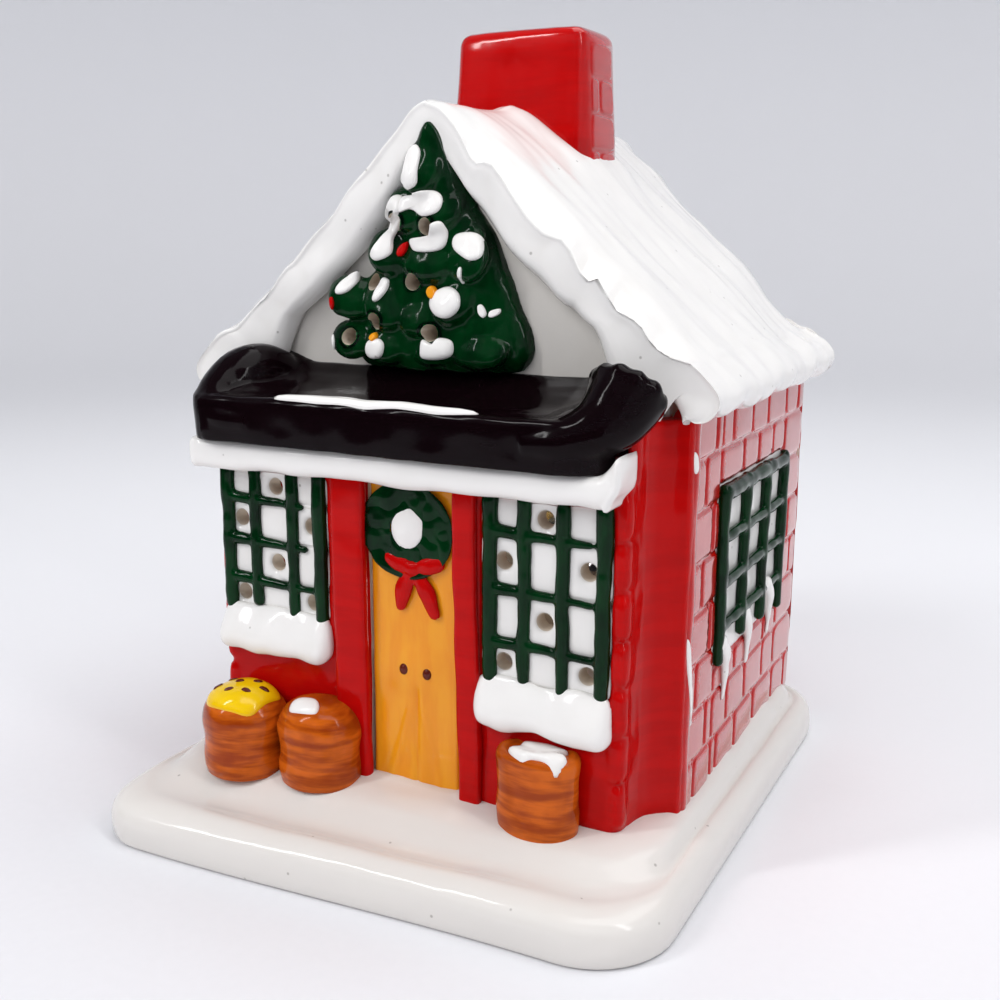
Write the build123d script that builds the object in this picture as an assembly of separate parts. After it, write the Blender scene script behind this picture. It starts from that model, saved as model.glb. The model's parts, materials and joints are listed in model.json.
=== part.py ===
from build123d import *

import math
import os

# Slip-cast ceramic village house with a clip-in lamp, in millimetres, +Z up.
# The origin is the bottom centre of the snow base, and the house front faces -Y.

os.makedirs("parts", exist_ok=True)

# Snow base
BASE_W = 112.0
BASE_D = 120.0
BASE_CORNER_R = 15.0
RIM_H = 8.0
RIM_EDGE_R = 3.5
TERRACE_H = 4.0
TERRACE_EDGE_R = 2.0
TERRACE_SIDE_INSET = 4.0
TERRACE_FRONT_INSET = 8.0
FLOOR_LEDGE = 6.0
FLOOR_CORNER_R = 8.0
FOOT_W = 8.0
FOOT_H = 2.5

# House shell and roof
HOUSE_W = 98.6
HOUSE_D = 77.0
YARD_BACK = 6.5
WALL_H = 71.0
WALL_T = 5.0
BRICK_L = 12.0
COURSE_H = 8.9
MORTAR_W = 1.2
MORTAR_DEPTH = 0.8
ROOF_PITCH = 42.0
ROOF_T = 6.7
EAVE_OVERHANG = 4.0
EAVE_EDGE_R = 1.8
RAKE_OVERHANG = 4.5
ROOF_SWELL = 3.0
# Where the slopes swell, from eave to ridge: (share of the slope's width, share of the swell)
ROOF_SWELL_LINE = [(0.7, 0.6), (0.35, 1.0), (0.13, 0.9)]

# Chimney
CHIMNEY_W = 25.8
CHIMNEY_D = 18.0
CHIMNEY_SETBACK = 32.0
CHIMNEY_RISE = 17.4
CHIMNEY_EDGE_R = 2.5

# Front bay
BAY_W = 85.2
BAY_OUT = 13.5
BAY_LINTEL_H = 8.0

# Porch roof and the snow band under it
PORCH_W = 88.0
PORCH_OUT = 21.5
PORCH_LIP_H = 8.4
PORCH_BACK_H = 13.5
PORCH_EDGE_R = 1.5
ROLL_FRONT_R = 3.8
ROLL_BACK_R = 5.3
PORCH_SNOW_H = 5.5
PORCH_SNOW_OUT = 6.5
PORCH_SNOW_SIDE = 2.0

# Door, wreath and bow
DOOR_X = 0.8
DOOR_W = 18.6
DOOR_H = 58.0
DOOR_HEAD = 0.5
DOOR_T = 2.0
DOOR_SET_BACK = 1.0
JAMB_W = 3.5
JAMB_OUT = 1.5
KNOB_R = 1.1
KNOB_Z = 22.6
KNOB_SPACING = 4.9
WREATH_X = 0.0
WREATH_DROP = 9.0
WREATH_R = 6.4
WREATH_TUBE_R = 3.0
BOW_W = 12.5
BOW_H = 9.0
BOW_KNOT_W = 2.6
BOW_T = 2.2

# Windows
WINDOW_W = 24.6
WINDOW_HEAD = 1.2
LEFT_WINDOW_X = -29.8
LEFT_SILL_H = 29.5
RIGHT_WINDOW_X = 27.7
RIGHT_SILL_H = 24.0
PANE_T = 1.5
BAR_W = 2.6
BAR_OUT = 1.4
PANE_COLUMNS = 3
PANE_ROWS = 4
LIGHT_HOLE_D = 3.0
SILL_SNOW_H = 8.5
SILL_SNOW_OUT = 4.5
SILL_SNOW_SIDE = 0.8
SILL_EDGE_R = 1.6
SIDE_WINDOW_W = 45.0
SIDE_WINDOW_H = 35.0
SIDE_WINDOW_SETBACK = 38.3
SIDE_WINDOW_Z = 22.0
ICICLE_SPACING = 15.0
ICICLE_L = 7.0
ICICLE_R = 2.2

# Gable tree: outline and light holes as (x, height over the porch roof), snow as (x, height, radius)
TREE_OUT = 7.0
TREE_EDGE = 1.2
TREE_OUTLINE = [
    (-16.0, 0.0), (-19.4, 3.0), (-17.4, 7.5), (-20.7, 12.0), (-18.2, 17.0), (-11.3, 22.4), (-9.5, 26.0),
    (-5.7, 31.0), (-3.5, 37.0), (-0.3, 43.0), (3.5, 38.0), (6.7, 31.0), (13.7, 19.0), (19.6, 7.0),
    (20.8, 3.5), (19.5, 0.0),
]
TREE_HOLES = [(-4.2, 25.8), (2.4, 25.1), (-9.8, 15.1), (-0.8, 15.4), (-14.0, 5.0), (-8.5, 7.7), (3.1, 6.4)]
TREE_SNOW = [
    (-1.6, 35.5, 2.0), (0.2, 30.0, 1.9), (-7.4, 21.5, 2.0), (-0.8, 20.8, 2.1), (8.2, 22.0, 2.2),
    (-14.8, 13.5, 2.0), (4.0, 12.0, 2.3), (-10.9, 3.3, 2.0), (8.0, 4.3, 2.2),
]
SNOW_DAB_OUT = 1.2

# Baskets by the door
BASKET_R = 8.0
BASKET_END_R = 7.2
BASKET_H = 16.0
RIGHT_BASKET_H = 14.2
OUTER_BASKET_X = -34.0
OUTER_BASKET_OUT = 6.5
INNER_BASKET_X = -17.8
INNER_BASKET_OUT = 4.5
RIGHT_BASKET_X = 28.1
RIGHT_BASKET_OUT = 4.0
FILL_R = 6.4
FILL_H = 2.5
BASKET_SNOW_R = 4.4
BASKET_SNOW_H = 1.6

# Clip-in lamp, on an axis along Y through the back wall
LAMP_Z = 35.0
LAMP_HOLE_D = 30.0
HOLDER_D = 20.0
HOLDER_IN = 22.0
HOLDER_OUT = 4.0
SOCKET_DEPTH = 16.0
CORD_BORE_D = 5.2
CLIP_W = 6.0
CLIP_T = 0.8
CLIP_LUG_R = 18.5
CLIP_COLLAR_L = 3.0
CLIP_CLEARANCE = 0.4
SHELL_D = 13.8
SHELL_T = 0.7
SHELL_L = 13.0
CONTACT_D = 8.0
CONTACT_T = 1.0
CAP_CLEARANCE = 0.25
CAP_GROOVE = 0.4
CAP_PITCH = 2.5
CAP_PROUD = 0.6
TIP_D = 5.0
TIP_H = 1.6
TIP_GAP = 0.3
BULB_D = 22.0
BULB_L = 40.0
BULB_SHOULDER = 20.0
GLASS_T = 0.8
STEM_L = 12.0
STEM_TOP_D = 5.0
FILAMENT_W = 8.0
FILAMENT_H = 10.0
FILAMENT_D = 0.6

# Levels and planes worked out from the driving dimensions
FLOOR_Z = RIM_H + TERRACE_H
EAVE_Z = FLOOR_Z + WALL_H
HALF_W = HOUSE_W / 2
BACK_Y = BASE_D / 2 - YARD_BACK
FRONT_Y = BACK_Y - HOUSE_D
SLOPE = math.tan(math.radians(ROOF_PITCH))
GABLE_Z = EAVE_Z + HALF_W * SLOPE
ROOF_RISE = ROOF_T / math.cos(math.radians(ROOF_PITCH))
RIDGE_Z = GABLE_Z + ROOF_RISE
EAVE_X = HALF_W + EAVE_OVERHANG
RAKE_Y = FRONT_Y - RAKE_OVERHANG
BAY_Y = FRONT_Y - BAY_OUT
BAY_H = DOOR_H + DOOR_HEAD + PORCH_SNOW_H
BAY_Z = FLOOR_Z + BAY_H
PORCH_Y = FRONT_Y - PORCH_OUT
PORCH_TOP_Z = BAY_Z + PORCH_BACK_H
DOOR_Y = BAY_Y + DOOR_SET_BACK
DOOR_LEFT = DOOR_X - DOOR_W / 2
DOOR_RIGHT = DOOR_X + DOOR_W / 2
JAMB_H = BAY_H - PORCH_SNOW_H
WREATH_Z = DOOR_H - WREATH_DROP
WINDOW_TOP_Z = BAY_Z - PORCH_SNOW_H - WINDOW_HEAD
LEFT_WINDOW_H = WINDOW_TOP_Z - FLOOR_Z - LEFT_SILL_H
RIGHT_WINDOW_H = WINDOW_TOP_Z - FLOOR_Z - RIGHT_SILL_H
SIDE_WINDOW_Y = FRONT_Y + SIDE_WINDOW_SETBACK
SIDE_SILL_Z = FLOOR_Z + SIDE_WINDOW_Z
LAMP_AXIS_Z = FLOOR_Z + LAMP_Z
SOCKET_Y = BACK_Y - HOLDER_IN
SOCKET_END_Y = SOCKET_Y + SOCKET_DEPTH
CONTACT_Y = SOCKET_END_Y - CONTACT_T
SHELL_Y = CONTACT_Y - SHELL_L
CAP_R_OUT = SHELL_D / 2 - SHELL_T - CAP_CLEARANCE
CAP_END_Y = CONTACT_Y - TIP_GAP - TIP_H
CAP_MOUTH_Y = SOCKET_Y - CAP_PROUD
HOLE_CUT = HOUSE_D / 2


def block(x0, x1, y0, y1, z0, z1):
    """Rectangular block between two corners."""
    size = Box(x1 - x0, y1 - y0, z1 - z0, align=(Align.MIN, Align.MIN, Align.MIN))
    return Pos(x0, y0, z0) * size


def prism_along_y(points, y0, y1):
    """Outline in (x, z), carried from y0 to y1."""
    face = Plane.XZ.offset(-y0) * make_face(Polyline(*points, close=True))
    return extrude(face, amount=y1 - y0, dir=(0, 1, 0))


def prism_along_x(points, x0, x1):
    """Outline in (y, z), carried from x0 to x1."""
    face = Plane.YZ.offset(x0) * make_face(Polyline(*points, close=True))
    return extrude(face, amount=x1 - x0, dir=(1, 0, 0))


def rod_along_y(x, z, radius, y0, y1):
    """Round rod parallel to Y."""
    rod = Cylinder(radius, y1 - y0, align=(Align.CENTER, Align.CENTER, Align.MIN))
    return Pos(x, y0, z) * Rot(-90, 0, 0) * rod


def lamp_turning(points):
    """Solid of revolution about the lamp's axis, from an outline in (distance along Y, radius)."""
    outline = make_face(Polyline(*[(radius, along) for along, radius in points], close=True))
    return Pos(0, 0, LAMP_AXIS_Z) * revolve(outline, Axis.Y)


def behind_bay():
    """Space behind the bay's front plane, cut away from what stands against it."""
    return block(-BASE_W, BASE_W, BAY_Y, BASE_D, 0, RIDGE_Z)


def over_roof_underside():
    """Space above the underside of the roof, from the front rake backwards."""
    top = RIDGE_Z + BASE_W
    foot = GABLE_Z - BASE_W * SLOPE
    points = [(-BASE_W, foot), (0, GABLE_Z), (BASE_W, foot), (BASE_W, top), (-BASE_W, top)]
    return prism_along_y(points, RAKE_Y, BASE_D)


def window_holes(centre_x, height):
    """Light holes of a front window, in every other pane."""
    rods = []
    for row in range(PANE_ROWS):
        for column in range(PANE_COLUMNS):
            if (row + column) % 2 == 1:
                x = centre_x + ((column + 0.5) / PANE_COLUMNS - 0.5) * (WINDOW_W - BAR_W)
                z = WINDOW_TOP_Z - (row + 0.5) / PANE_ROWS * height
                rods.append(rod_along_y(x, z, LIGHT_HOLE_D / 2, BAY_Y - HOLE_CUT, BAY_Y + HOLE_CUT))
    return rods


def tree_light_holes():
    """Light holes of the gable tree, through the tree and the front wall."""
    return [
        rod_along_y(x, PORCH_TOP_Z + z, LIGHT_HOLE_D / 2, FRONT_Y - HOLE_CUT, FRONT_Y + HOLE_CUT)
        for x, z in TREE_HOLES
    ]


def lattice_bars(width, height):
    """Window bars in a flat sketch, centred across and standing on the sill."""
    bars = []
    for index in range(PANE_COLUMNS + 1):
        x = (index / PANE_COLUMNS - 0.5) * (width - BAR_W)
        bars.append(Pos(x, height / 2) * Rectangle(BAR_W, height))
    for index in range(1, PANE_ROWS):
        bars.append(Pos(0, height * index / PANE_ROWS) * Rectangle(width, BAR_W))
    return Sketch() + bars


def make_snow_base():
    rim = extrude(RectangleRounded(BASE_W, BASE_D, BASE_CORNER_R), RIM_H)
    rim = fillet(rim.faces().sort_by(Axis.Z)[-1].edges(), RIM_EDGE_R)
    terrace_d = BASE_D - TERRACE_FRONT_INSET - TERRACE_SIDE_INSET
    terrace_y = (TERRACE_FRONT_INSET - TERRACE_SIDE_INSET) / 2
    terrace_r = BASE_CORNER_R - TERRACE_SIDE_INSET
    plan = Pos(0, terrace_y) * RectangleRounded(BASE_W - 2 * TERRACE_SIDE_INSET, terrace_d, terrace_r)
    terrace = extrude(plan, FLOOR_Z)
    terrace = fillet(terrace.faces().sort_by(Axis.Z)[-1].edges(), TERRACE_EDGE_R)
    floor_w = HOUSE_W - 2 * WALL_T - 2 * FLOOR_LEDGE
    floor_d = HOUSE_D - 2 * WALL_T - 2 * FLOOR_LEDGE
    opening = extrude(RectangleRounded(floor_w, floor_d, FLOOR_CORNER_R), FLOOR_Z)
    opening = Pos(0, (FRONT_Y + BACK_Y) / 2, 0) * opening
    foot_r = BASE_CORNER_R - FOOT_W / 2
    recess = extrude(RectangleRounded(BASE_W - 2 * FOOT_W, BASE_D - 2 * FOOT_W, foot_r), FOOT_H)
    return rim + terrace - opening - recess


def make_gable_wall(y0, y1):
    inner = HALF_W - WALL_T
    shoulder_z = EAVE_Z + WALL_T * SLOPE
    points = [(-inner, FLOOR_Z), (inner, FLOOR_Z), (inner, shoulder_z), (0, GABLE_Z), (-inner, shoulder_z)]
    return prism_along_y(points, y0, y1)


def make_front_wall():
    wall = make_gable_wall(FRONT_Y, FRONT_Y + WALL_T)
    half = BAY_W / 2 - WALL_T
    opening = block(-half, half, FRONT_Y, FRONT_Y + WALL_T, FLOOR_Z, BAY_Z - BAY_LINTEL_H)
    return wall - opening - tree_light_holes()


def make_back_wall():
    wall = make_gable_wall(BACK_Y - WALL_T, BACK_Y)
    return wall - rod_along_y(0, LAMP_AXIS_Z, LAMP_HOLE_D / 2, BACK_Y - WALL_T, BACK_Y)


def mortar_lines():
    """Mortar grooves of a brick wall in running bond, on the right-hand wall."""
    x0 = HALF_W - MORTAR_DEPTH
    lines = []
    for course in range(1, math.floor(WALL_H / COURSE_H) + 1):
        z = FLOOR_Z + course * COURSE_H
        if course * COURSE_H < WALL_H - MORTAR_W:
            lines.append(block(x0, HALF_W, FRONT_Y, BACK_Y, z - MORTAR_W / 2, z + MORTAR_W / 2))
        offset = BRICK_L * (0.5 + 0.5 * (course % 2))
        for brick in range(math.floor((HOUSE_D - offset) / BRICK_L) + 1):
            y = FRONT_Y + offset + brick * BRICK_L
            if y < BACK_Y - MORTAR_W:
                lines.append(block(x0, HALF_W, y - MORTAR_W / 2, y + MORTAR_W / 2, z - COURSE_H, z))
    return lines


def make_right_wall():
    inner = HALF_W - WALL_T
    points = [(inner, FLOOR_Z), (HALF_W, FLOOR_Z), (HALF_W, EAVE_Z), (inner, EAVE_Z + WALL_T * SLOPE)]
    wall = prism_along_y(points, FRONT_Y, BACK_Y) - mortar_lines()
    pocket_y = SIDE_WINDOW_Y - SIDE_WINDOW_W / 2
    pocket = block(
        HALF_W - PANE_T, HALF_W, pocket_y, pocket_y + SIDE_WINDOW_W, SIDE_SILL_Z, SIDE_SILL_Z + SIDE_WINDOW_H
    )
    return wall - pocket


def make_right_side_pane():
    y0 = SIDE_WINDOW_Y - SIDE_WINDOW_W / 2
    return block(HALF_W - PANE_T, HALF_W, y0, y0 + SIDE_WINDOW_W, SIDE_SILL_Z, SIDE_SILL_Z + SIDE_WINDOW_H)


def make_right_side_lattice():
    plane = Plane(origin=(HALF_W, SIDE_WINDOW_Y, SIDE_SILL_Z), x_dir=(0, 1, 0), z_dir=(1, 0, 0))
    return extrude(plane * lattice_bars(SIDE_WINDOW_W, SIDE_WINDOW_H), amount=BAR_OUT, dir=(1, 0, 0))


def make_right_side_icicles():
    """Hanging drips under the side window, half round against the wall."""
    inside = block(0, HALF_W, FRONT_Y, BACK_Y, FLOOR_Z, EAVE_Z)
    drips = []
    for step in (-1, 0, 1):
        place = Pos(HALF_W, SIDE_WINDOW_Y + step * ICICLE_SPACING, SIDE_SILL_Z - ICICLE_L)
        cone = Cone(ICICLE_R / 2, ICICLE_R, ICICLE_L, align=(Align.CENTER, Align.CENTER, Align.MIN))
        drips.append(place * cone - inside)
    return Part() + drips


def make_right_roof_slope():
    """Right-hand slope, flat underneath and swelling on top."""
    ridge = (0, RIDGE_Z)
    tip = (EAVE_X, RIDGE_Z - EAVE_X * SLOPE)
    swell = []
    for across, share in ROOF_SWELL_LINE:
        x = EAVE_X * across
        swell.append((x, RIDGE_Z - x * SLOPE + ROOF_SWELL * share))
    eave = (EAVE_X, (EAVE_Z + tip[1]) / 2)
    outline = Spline(tip, *swell, ridge) + Polyline(ridge, (0, GABLE_Z), (HALF_W, EAVE_Z), eave, tip)
    face = Plane.XZ.offset(-RAKE_Y) * make_face(outline)
    slope = extrude(face, amount=BACK_Y + RAKE_OVERHANG - RAKE_Y, dir=(0, 1, 0))
    eave_edges = slope.edges().filter_by(Axis.Y).sort_by(Axis.X)[-2:]
    return fillet(eave_edges, EAVE_EDGE_R)


def make_chimney():
    y0 = FRONT_Y + CHIMNEY_SETBACK
    half = CHIMNEY_W / 2
    stack = block(-half, half, y0, y0 + CHIMNEY_D, GABLE_Z - CHIMNEY_W, RIDGE_Z + CHIMNEY_RISE)
    stack = fillet(stack.edges().filter_by(Axis.Z), CHIMNEY_EDGE_R)
    stack = fillet(stack.faces().sort_by(Axis.Z)[-1].edges(), CHIMNEY_EDGE_R / 2)
    foot = [(0, RIDGE_Z), (BASE_W, RIDGE_Z - BASE_W * SLOPE), (-BASE_W, RIDGE_Z - BASE_W * SLOPE)]
    stack -= prism_along_y(foot, y0 - CHIMNEY_D, y0 + 2 * CHIMNEY_D)
    return stack - right_roof_slope - left_roof_slope


def make_window_pane(centre_x, height):
    half = WINDOW_W / 2
    low = WINDOW_TOP_Z - height
    pane = block(centre_x - half, centre_x + half, BAY_Y, BAY_Y + PANE_T, low, WINDOW_TOP_Z)
    return pane - window_holes(centre_x, height)


def make_window_lattice(centre_x, height):
    plane = Plane(origin=(centre_x, BAY_Y, WINDOW_TOP_Z - height), x_dir=(1, 0, 0), z_dir=(0, -1, 0))
    return extrude(plane * lattice_bars(WINDOW_W, height), amount=BAR_OUT, dir=(0, -1, 0))


def make_window_snow(centre_x, height):
    half = WINDOW_W / 2 + SILL_SNOW_SIDE
    top = WINDOW_TOP_Z - height
    snow = block(centre_x - half, centre_x + half, BAY_Y - SILL_SNOW_OUT, BAY_Y, top - SILL_SNOW_H, top)
    return fillet(snow.faces().sort_by(Axis.Y)[0].edges(), SILL_EDGE_R)


def make_porch_bay():
    half = BAY_W / 2
    shell = block(-half, half, BAY_Y, FRONT_Y, FLOOR_Z, BAY_Z)
    hollow = block(-half + WALL_T, half - WALL_T, BAY_Y + WALL_T, FRONT_Y, FLOOR_Z, BAY_Z)
    door_pocket = block(DOOR_LEFT, DOOR_RIGHT, BAY_Y, DOOR_Y + DOOR_T, FLOOR_Z, FLOOR_Z + DOOR_H)
    bay = shell - hollow - door_pocket
    for centre_x, height in ((LEFT_WINDOW_X, LEFT_WINDOW_H), (RIGHT_WINDOW_X, RIGHT_WINDOW_H)):
        edge = WINDOW_W / 2
        low = WINDOW_TOP_Z - height
        bay -= block(centre_x - edge, centre_x + edge, BAY_Y, BAY_Y + PANE_T, low, WINDOW_TOP_Z)
        bay -= window_holes(centre_x, height)
    return bay


def make_porch_snow():
    half = BAY_W / 2
    low = BAY_Z - PORCH_SNOW_H
    outer = half + PORCH_SNOW_SIDE
    band = block(-outer, outer, BAY_Y - PORCH_SNOW_OUT, FRONT_Y, low, BAY_Z)
    front_edges = band.faces().sort_by(Axis.Y)[0].edges()
    band = fillet(front_edges.filter_by(Axis.X).sort_by(Axis.Z)[0], PORCH_EDGE_R)
    return band - block(-half, half, BAY_Y, FRONT_Y, low, BAY_Z)


def make_porch_roof():
    half = PORCH_W / 2
    lip_z = BAY_Z + PORCH_LIP_H
    points = [(PORCH_Y, BAY_Z), (FRONT_Y, BAY_Z), (FRONT_Y, PORCH_TOP_Z), (PORCH_Y, lip_z)]
    roof = prism_along_x(points, -half, half)
    front_edges = roof.edges().filter_by(Axis.X).sort_by(Axis.Y)[:2]
    roof = fillet(front_edges, PORCH_EDGE_R)
    rise = (PORCH_TOP_Z - lip_z) / PORCH_OUT
    roll_y = PORCH_Y + ROLL_FRONT_R
    roll_l = RAKE_Y - roll_y
    for side in (-1, 1):
        start = Vector(side * (half - ROLL_BACK_R), roll_y, lip_z - ROLL_FRONT_R / 2)
        end = Vector(side * (half - ROLL_BACK_R), RAKE_Y, lip_z + rise * roll_l + ROLL_FRONT_R / 2)
        axis = end - start
        cone = Cone(ROLL_FRONT_R, ROLL_BACK_R, axis.length, align=(Align.CENTER, Align.CENTER, Align.MIN))
        roof += Plane(origin=start, z_dir=axis) * cone + Pos(start) * Sphere(ROLL_FRONT_R)
    roof -= block(-BASE_W, BASE_W, -BASE_D, BASE_D, 0, BAY_Z)
    return roof - over_roof_underside()


def make_door():
    return block(DOOR_LEFT, DOOR_RIGHT, DOOR_Y, DOOR_Y + DOOR_T, FLOOR_Z, FLOOR_Z + DOOR_H)


def make_door_knobs():
    inside = block(-BASE_W, BASE_W, DOOR_Y, BASE_D, 0, RIDGE_Z)
    z = FLOOR_Z + KNOB_Z
    half = KNOB_SPACING / 2
    knobs = [Pos(DOOR_X + side * half, DOOR_Y, z) * Sphere(KNOB_R) - inside for side in (-1, 1)]
    return Part() + knobs


def make_jamb(side):
    edge = DOOR_LEFT - JAMB_W if side < 0 else DOOR_RIGHT
    return block(edge, edge + JAMB_W, BAY_Y - JAMB_OUT, BAY_Y, FLOOR_Z, FLOOR_Z + JAMB_H)


def make_wreath():
    ring = Pos(WREATH_X, DOOR_Y, FLOOR_Z + WREATH_Z) * Rot(90, 0, 0) * Torus(WREATH_R, WREATH_TUBE_R)
    return ring - make_door() - make_jamb(-1) - make_jamb(1) - porch_bay


def make_wreath_snow():
    z = FLOOR_Z + WREATH_Z
    disc = rod_along_y(WREATH_X, z, WREATH_R, DOOR_Y - WREATH_TUBE_R / 2, DOOR_Y)
    return disc - wreath


def make_bow():
    """Flat ribbon bow hung on the lower edge of the wreath."""
    knot = BOW_KNOT_W / 2
    wing = BOW_W / 2
    drop = BOW_H - 2 * knot
    right = [(knot, -knot), (wing, 0), (wing, -2 * knot), (knot, -2 * knot + knot / 2)]
    tail_z = -2 * knot
    tail = [(wing * 0.7, tail_z - drop), (wing * 0.4, tail_z - drop * 0.75), (0, tail_z - drop * 0.3)]
    outline = [(0, -knot / 2)] + right + tail
    mirrored = [(-x, z) for x, z in reversed(outline) if x > 0]
    top = FLOOR_Z + WREATH_Z - WREATH_R - WREATH_TUBE_R + BOW_KNOT_W
    points = [(WREATH_X + x, top + z) for x, z in outline + mirrored]
    return prism_along_y(points, DOOR_Y - BOW_T, DOOR_Y) - wreath


def make_tree():
    points = [(x, PORCH_TOP_Z + z) for x, z in TREE_OUTLINE]
    tree = prism_along_y(points, FRONT_Y - TREE_OUT, FRONT_Y)
    tree = chamfer(tree.faces().sort_by(Axis.Y)[0].edges(), TREE_EDGE)
    return tree - over_roof_underside() - tree_light_holes()


def make_tree_snow():
    """Rounded dabs of snow on the tree's front face."""
    front_y = FRONT_Y - TREE_OUT
    inside = block(-BASE_W, BASE_W, front_y, BASE_D, 0, RIDGE_Z + BASE_W)
    dabs = []
    for x, z, radius in TREE_SNOW:
        ball_r = (radius ** 2 + SNOW_DAB_OUT ** 2) / (2 * SNOW_DAB_OUT)
        ball = Pos(x, front_y + ball_r - SNOW_DAB_OUT, PORCH_TOP_Z + z) * Sphere(ball_r)
        dabs.append(ball - inside)
    return Part() + dabs


def make_basket(x, out, height):
    side = ThreePointArc((BASKET_END_R, 0), (BASKET_R, height / 2), (BASKET_END_R, height))
    outline = side + Polyline((BASKET_END_R, height), (0, height), (0, 0), (BASKET_END_R, 0))
    body = revolve(Plane.XZ * make_face(outline), Axis.Z)
    body = Pos(x, BAY_Y - out, FLOOR_Z) * body
    return body - behind_bay() - make_jamb(-1) - make_jamb(1)


def make_basket_top(x, out, basket_h, radius, height):
    """Domed heap on a basket."""
    ball_r = (radius ** 2 + height ** 2) / (2 * height)
    top_z = FLOOR_Z + basket_h
    ball = Pos(x, BAY_Y - out, top_z + height - ball_r) * Sphere(ball_r)
    return ball - block(-BASE_W, BASE_W, -BASE_D, BASE_D, -RIDGE_Z, top_z) - behind_bay()


def make_lamp_holder():
    end_y = BACK_Y + HOLDER_OUT
    body = rod_along_y(0, LAMP_AXIS_Z, HOLDER_D / 2, SOCKET_Y, end_y)
    body -= rod_along_y(0, LAMP_AXIS_Z, SHELL_D / 2, SOCKET_Y, SOCKET_END_Y)
    return body - rod_along_y(0, LAMP_AXIS_Z, CORD_BORE_D / 2, SOCKET_END_Y, end_y)


def make_holder_clip():
    """Sprung strap round the holder, with lugs on the wall's outer face and bowed legs inside the hole."""
    strap_r = HOLDER_D / 2 + CLIP_T / 2
    bow_r = math.sqrt((LAMP_HOLE_D / 2 - CLIP_CLEARANCE) ** 2 - (CLIP_W / 2) ** 2) - CLIP_T / 2
    lug_y = BACK_Y + CLIP_T / 2
    fold_y = SOCKET_Y + CLIP_COLLAR_L
    bow_y = (fold_y + BACK_Y) / 2
    end_r = (strap_r + bow_r) / 2
    bends = [(lug_y, CLIP_LUG_R), (lug_y, strap_r), (fold_y, strap_r), (bow_y, bow_r), (BACK_Y, end_r)]
    strips = [trace(Line(start, end), CLIP_T) for start, end in zip(bends, bends[1:])]
    leg = extrude(Plane.YZ * (Sketch() + strips), amount=CLIP_W / 2, both=True)
    collar = rod_along_y(0, 0, HOLDER_D / 2 + CLIP_T, fold_y - CLIP_COLLAR_L, fold_y)
    clip = leg + mirror(leg, Plane.XY) + collar
    clip -= rod_along_y(0, 0, HOLDER_D / 2, SOCKET_Y - HOLDER_IN, BACK_Y + HOLDER_OUT)
    return Pos(0, 0, LAMP_AXIS_Z) * clip


def make_screw_shell():
    shell = rod_along_y(0, LAMP_AXIS_Z, SHELL_D / 2, SHELL_Y, CONTACT_Y)
    return shell - rod_along_y(0, LAMP_AXIS_Z, SHELL_D / 2 - SHELL_T, SHELL_Y, CONTACT_Y)


def make_centre_contact():
    return rod_along_y(0, LAMP_AXIS_Z, CONTACT_D / 2, CONTACT_Y, SOCKET_END_Y)


def make_bulb_cap():
    points = [(CAP_MOUTH_Y, 0)]
    for turn in range(math.floor((CAP_END_Y - CAP_MOUTH_Y) / CAP_PITCH)):
        start = CAP_MOUTH_Y + turn * CAP_PITCH
        points += [(start, CAP_R_OUT - CAP_GROOVE), (start + CAP_PITCH / 2, CAP_R_OUT)]
    points += [(CAP_END_Y, CAP_R_OUT - CAP_GROOVE), (CAP_END_Y, TIP_D / 2)]
    points += [(CAP_END_Y + TIP_H, TIP_D / 2 - TIP_H / 2), (CAP_END_Y + TIP_H, 0)]
    return lamp_turning(points)


def glass_outline(inset):
    """Half section of the bulb's glass, drawn in by inset, as a face in (radius, Y)."""
    neck_r = CAP_R_OUT - CAP_GROOVE - inset
    belly_r = BULB_D / 2 - inset
    belly_y = CAP_MOUTH_Y - BULB_SHOULDER
    tip_y = CAP_MOUTH_Y - BULB_L + inset
    bend_y = CAP_MOUTH_Y - BULB_SHOULDER / 2
    neck = Line((0, CAP_MOUTH_Y), (neck_r, CAP_MOUTH_Y))
    shoulder = Bezier((neck_r, CAP_MOUTH_Y), (neck_r, bend_y), (belly_r, bend_y), (belly_r, belly_y))
    nose = Bezier((belly_r, belly_y), (belly_r, (belly_y + tip_y) / 2), (belly_r / 2, tip_y), (0, tip_y))
    return make_face([neck, shoulder, nose, Line((0, tip_y), (0, CAP_MOUTH_Y))])


def make_bulb_glass():
    glass = revolve(glass_outline(0), Axis.Y) - revolve(glass_outline(GLASS_T), Axis.Y)
    return Pos(0, 0, LAMP_AXIS_Z) * glass


def make_bulb_stem():
    foot_r = CAP_R_OUT - CAP_GROOVE - 2 * GLASS_T
    top_y = CAP_MOUTH_Y - STEM_L
    points = [(CAP_MOUTH_Y, 0), (CAP_MOUTH_Y, foot_r), (top_y, STEM_TOP_D / 2), (top_y, 0)]
    return lamp_turning(points)


def make_bulb_filament():
    """Wire standing on the stem: two leads and the bridge between them."""
    foot = STEM_TOP_D / 2 - FILAMENT_D
    top_y = CAP_MOUTH_Y - STEM_L
    half = FILAMENT_W / 2
    route = [(-foot, top_y), (-foot, top_y - FILAMENT_D), (-half, top_y - FILAMENT_H)]
    route += [(half, top_y - FILAMENT_H), (foot, top_y - FILAMENT_D), (foot, top_y)]
    path = Pos(0, 0, LAMP_AXIS_Z) * Polyline(*route)
    section = Plane(origin=path @ 0, z_dir=path % 0) * Circle(FILAMENT_D / 2)
    return sweep(section, path, transition=Transition.RIGHT)


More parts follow.
